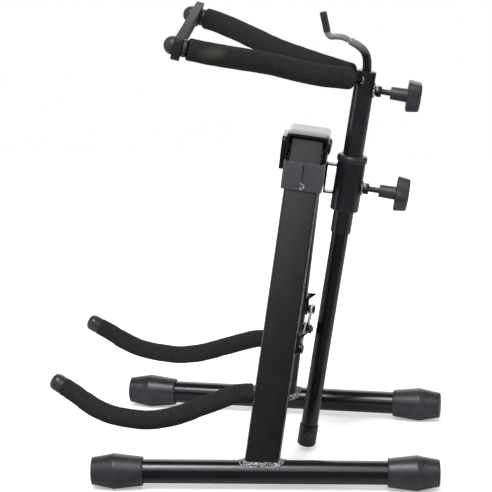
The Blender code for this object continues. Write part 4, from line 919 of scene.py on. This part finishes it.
def make_button():
    """A raised rim and a centre dot on the stop button of the lower tube cap, painted pale as a painted
    highlight.
    """
    middle = FORK @ Vector(BUTTON_PLACE)
    rim = even_path(circle(middle, FORK.to_3x3().col[0].copy(), BUTTON_RIM_RADIUS))
    bm = tube_along(rim, lambda i, a: BUTTON_RIM_THICK, 8, closed=True)
    piece("button_rim", bm, HIGHLIGHT_POLYETHYLENE, "bow_stem", "black_plastic")
    bm = bmesh.new()
    dot = bmesh.ops.create_uvsphere(bm, u_segments=16, v_segments=10, radius=BUTTON_DOT_RADIUS * MM)
    for v in dot["verts"]:
        v.co = Vector((v.co.x * BUTTON_DOT_SQUASH, v.co.y, v.co.z)) + middle * MM
    piece("button_dot", bm, HIGHLIGHT_POLYETHYLENE, "bow_stem", "black_plastic")


def make_thread(name, node, body, mast, screw):
    """A screw with a rolled thread, cut square at its ends."""
    height, start, end = screw
    count = int((end - start) / SCREW_PITCH * THREAD_STEPS)
    path = [mast @ Vector((0, start + (end - start) * i / count, height)) for i in range(count + 1)]

    def ridge(i, a):
        turn = (i / THREAD_STEPS - a / math.tau) % 1.0
        depth = THREAD_END_DEPTH if i in (0, count) else THREAD_DEPTH * abs(2 * turn - 1)
        return SCREW_RADIUS - depth

    bm = tube_along(path, ridge, 24)
    piece(name, bm, YELLOW_ZINC, body, "dark_zinc_screw", node)


def dress_nodes():
    """Finishes of the CAD nodes that stay."""
    for word, side in SIDES:
        # the leg's corners get painted highlights
        leg = enamel(word + "_leg_enamel", "050506", "09090a", 0.26, painted_light=leg_corner_highlights(side))
        dress(word + "_leg", leg)
        for end in ("_foot_tube", "_arm_rod", "_yoke_rod"):
            dress(word + end, TUBE_ENAMEL)
        for end in ("_brace_tab", "_brace_link"):
            dress(word + end, TUBE_ENAMEL, 0.3)
        dress(word + "_arm_tip", SMOOTH_ABS)
        dress(word + "_yoke_collar", GRAINED_ABS)
        dress(word + "_yoke_ball", GRAINED_ABS)
        dress(word + "_pivot_rivet", TUBE_ENAMEL, 0.2)
        dress(word + "_brace_pin", GREY_ZINC, 0.2)
    for name in ("top_bracket", "holder_bracket", "front_plate"):
        dress(name, SHEET_ENAMEL, 0.3)
    dress("leg_ring", RING_ENAMEL, 0.7)
    for name in ("holder_nut", "yoke_nut"):
        dress(name, TUBE_ENAMEL, 0.3)
    dress("bow_tube", TUBE_ENAMEL)
    for name in ("tube_holder", "yoke_tube"):
        dress(name, MAST_ENAMEL)
    dress("holder_bush", SOFT_PVC)
    for name in ("holder_lower_bush", "bow_tube_plug", "bow_tube_cap"):
        dress(name, POLYETHYLENE, 0.2)
    for name in ("lower_knob", "upper_knob"):
        dress(name, GRAINED_ABS, 0.4)
    for name in ("left_brace_spacer", "brace_bolt", "brace_nut"):
        dress(name, GREY_ZINC, 0.2)
    dress("yoke_strap", PRESSED_RUBBER, 0.5)


def make_floor():
    """A table top in matt white paper: the eye sees a plain pale ground with a soft shadow."""
    finish = {"Roughness": 0.8, "Emission Color": "ffffff"}
    mat, tree, shader, place = new_material("matt_paper_table", finish)
    tone = add(tree, "ShaderNodeTexNoise", "Fac",
               {"Vector": place, "Scale": per(300), "Detail": 3, "Roughness": ROUGHER})
    tone = add(tree, "ShaderNodeMapRange", "Result", {"Value": tone, "From Min": 0.3, "From Max": 0.7})
    tone = add(tree, "ShaderNodeMix", MIXED, {AMOUNT: tone, FIRST: "ececec", SECOND: "f0f0f0"},
               data_type="RGBA")
    # in reflections the table is painted dark grey, a painted shade: partly near the stand, mostly past the
    # near foot tube
    across = add(tree, "ShaderNodeSeparateXYZ", "X", {"Vector": place})
    mirror_shade_share = add(tree, "ShaderNodeMapRange", "Result",
                   {"Value": across, "From Min": MIRROR_SHADE_FROM * MM, "From Max": MIRROR_SHADE_FULL * MM,
                    "To Min": 0.45, "To Max": 0.9})
    mirror = add(tree, "ShaderNodeLightPath", "Is Glossy Ray")
    mirror_shade = add(tree, "ShaderNodeMath", 0, {0: mirror_shade_share, 1: mirror}, operation="MULTIPLY")
    # the table glows a little to the camera, so that it meets the white room without an edge
    camera = add(tree, "ShaderNodeLightPath", "Is Camera Ray")
    tone = add(tree, "ShaderNodeMix", MIXED, {AMOUNT: mirror_shade, FIRST: tone, SECOND: "202020"},
               data_type="RGBA")
    glow = add(tree, "ShaderNodeMapRange", "Result", {"Value": camera, "To Max": 0.3})
    fill(tree, shader, {"Base Color": tone, "Emission Strength": glow})
    bm = bmesh.new()
    corners = [(x, y * FLOOR_HALF_WIDTH, 0) for x, y in
               ((FLOOR_FRONT, -1), (FLOOR_FRONT, 1), (FLOOR_BACK, 1), (FLOOR_BACK, -1))]
    bm.faces.new([bm.verts.new(point(p)) for p in corners])
    mesh = bpy.data.meshes.new("floor")
    bm.to_mesh(mesh)
    bm.free()
    mesh.materials.append(mat)
    floor = bpy.data.objects.new("floor", mesh)
    bpy.context.scene.collection.objects.link(floor)


def put_light(name, light, place):
    """Puts a light at a place, aimed at the middle of the stand."""
    obj = bpy.data.objects.new(name, light)
    obj.location = point(place)
    obj.rotation_euler = (point(AIM) - obj.location).to_track_quat("-Z", "Y").to_euler()
    obj.visible_camera = False
    bpy.context.scene.collection.objects.link(obj)


def make_studio():
    """A white room that the enamel mirrors only dimly, a wide key above the camera, and soft boxes."""
    world = bpy.data.worlds.new("studio")
    bpy.context.scene.world = world
    world.use_nodes = True
    tree = world.node_tree
    mirror = add(tree, "ShaderNodeLightPath", "Is Glossy Ray")
    camera = add(tree, "ShaderNodeLightPath", "Is Camera Ray")
    level = add(tree, "ShaderNodeMapRange", "Result", {"Value": mirror, "To Min": 0.7, "To Max": 0.2})
    strength = add(tree, "ShaderNodeMath", 0, {0: level, 1: camera}, operation="MAXIMUM")
    fill(tree, tree.nodes["Background"], {"Color": "ffffff", "Strength": strength})
    key = bpy.data.lights.new("key", "SUN")
    key.angle = KEY_WIDTH
    key.energy = KEY_ENERGY
    put_light("key", key, KEY_PLACE)
    for name, (place, size, power) in SOFT_BOXES.items():
        box = bpy.data.lights.new(name, "AREA")
        box.shape = "RECTANGLE"
        box.size, box.size_y = size
        box.energy = power
        put_light(name, box, place)
    bpy.context.scene.view_settings.view_transform = "Standard"


def make_camera():
    """The photograph's view of the stand's right side."""
    camera = bpy.data.cameras.new("camera")
    camera.lens = CAMERA_LENS
    camera.sensor_width = SENSOR_WIDTH
    obj = bpy.data.objects.new("camera", camera)
    obj.location = point(CAMERA_PLACE)
    obj.rotation_euler = [math.radians(a) for a in CAMERA_TURN]
    bpy.context.scene.collection.objects.link(obj)
    bpy.context.scene.camera = obj


make_camera()
dress_nodes()
make_sleeves()
make_welds()
make_hook()
make_button()
for word, side in SIDES:
    for end, at, outward in CAP_PLACES:
        make_cap(f"{word}_{end}_foot", f"{word}_{end}_cap", word + "_leg", side, at, outward)
make_thread("lower_thread", "lower_screw", "lower_knob", MAST, LOWER_SCREW)
make_thread("upper_thread", "upper_screw", "upper_knob", FORK, UPPER_SCREW)
make_floor()
make_studio()
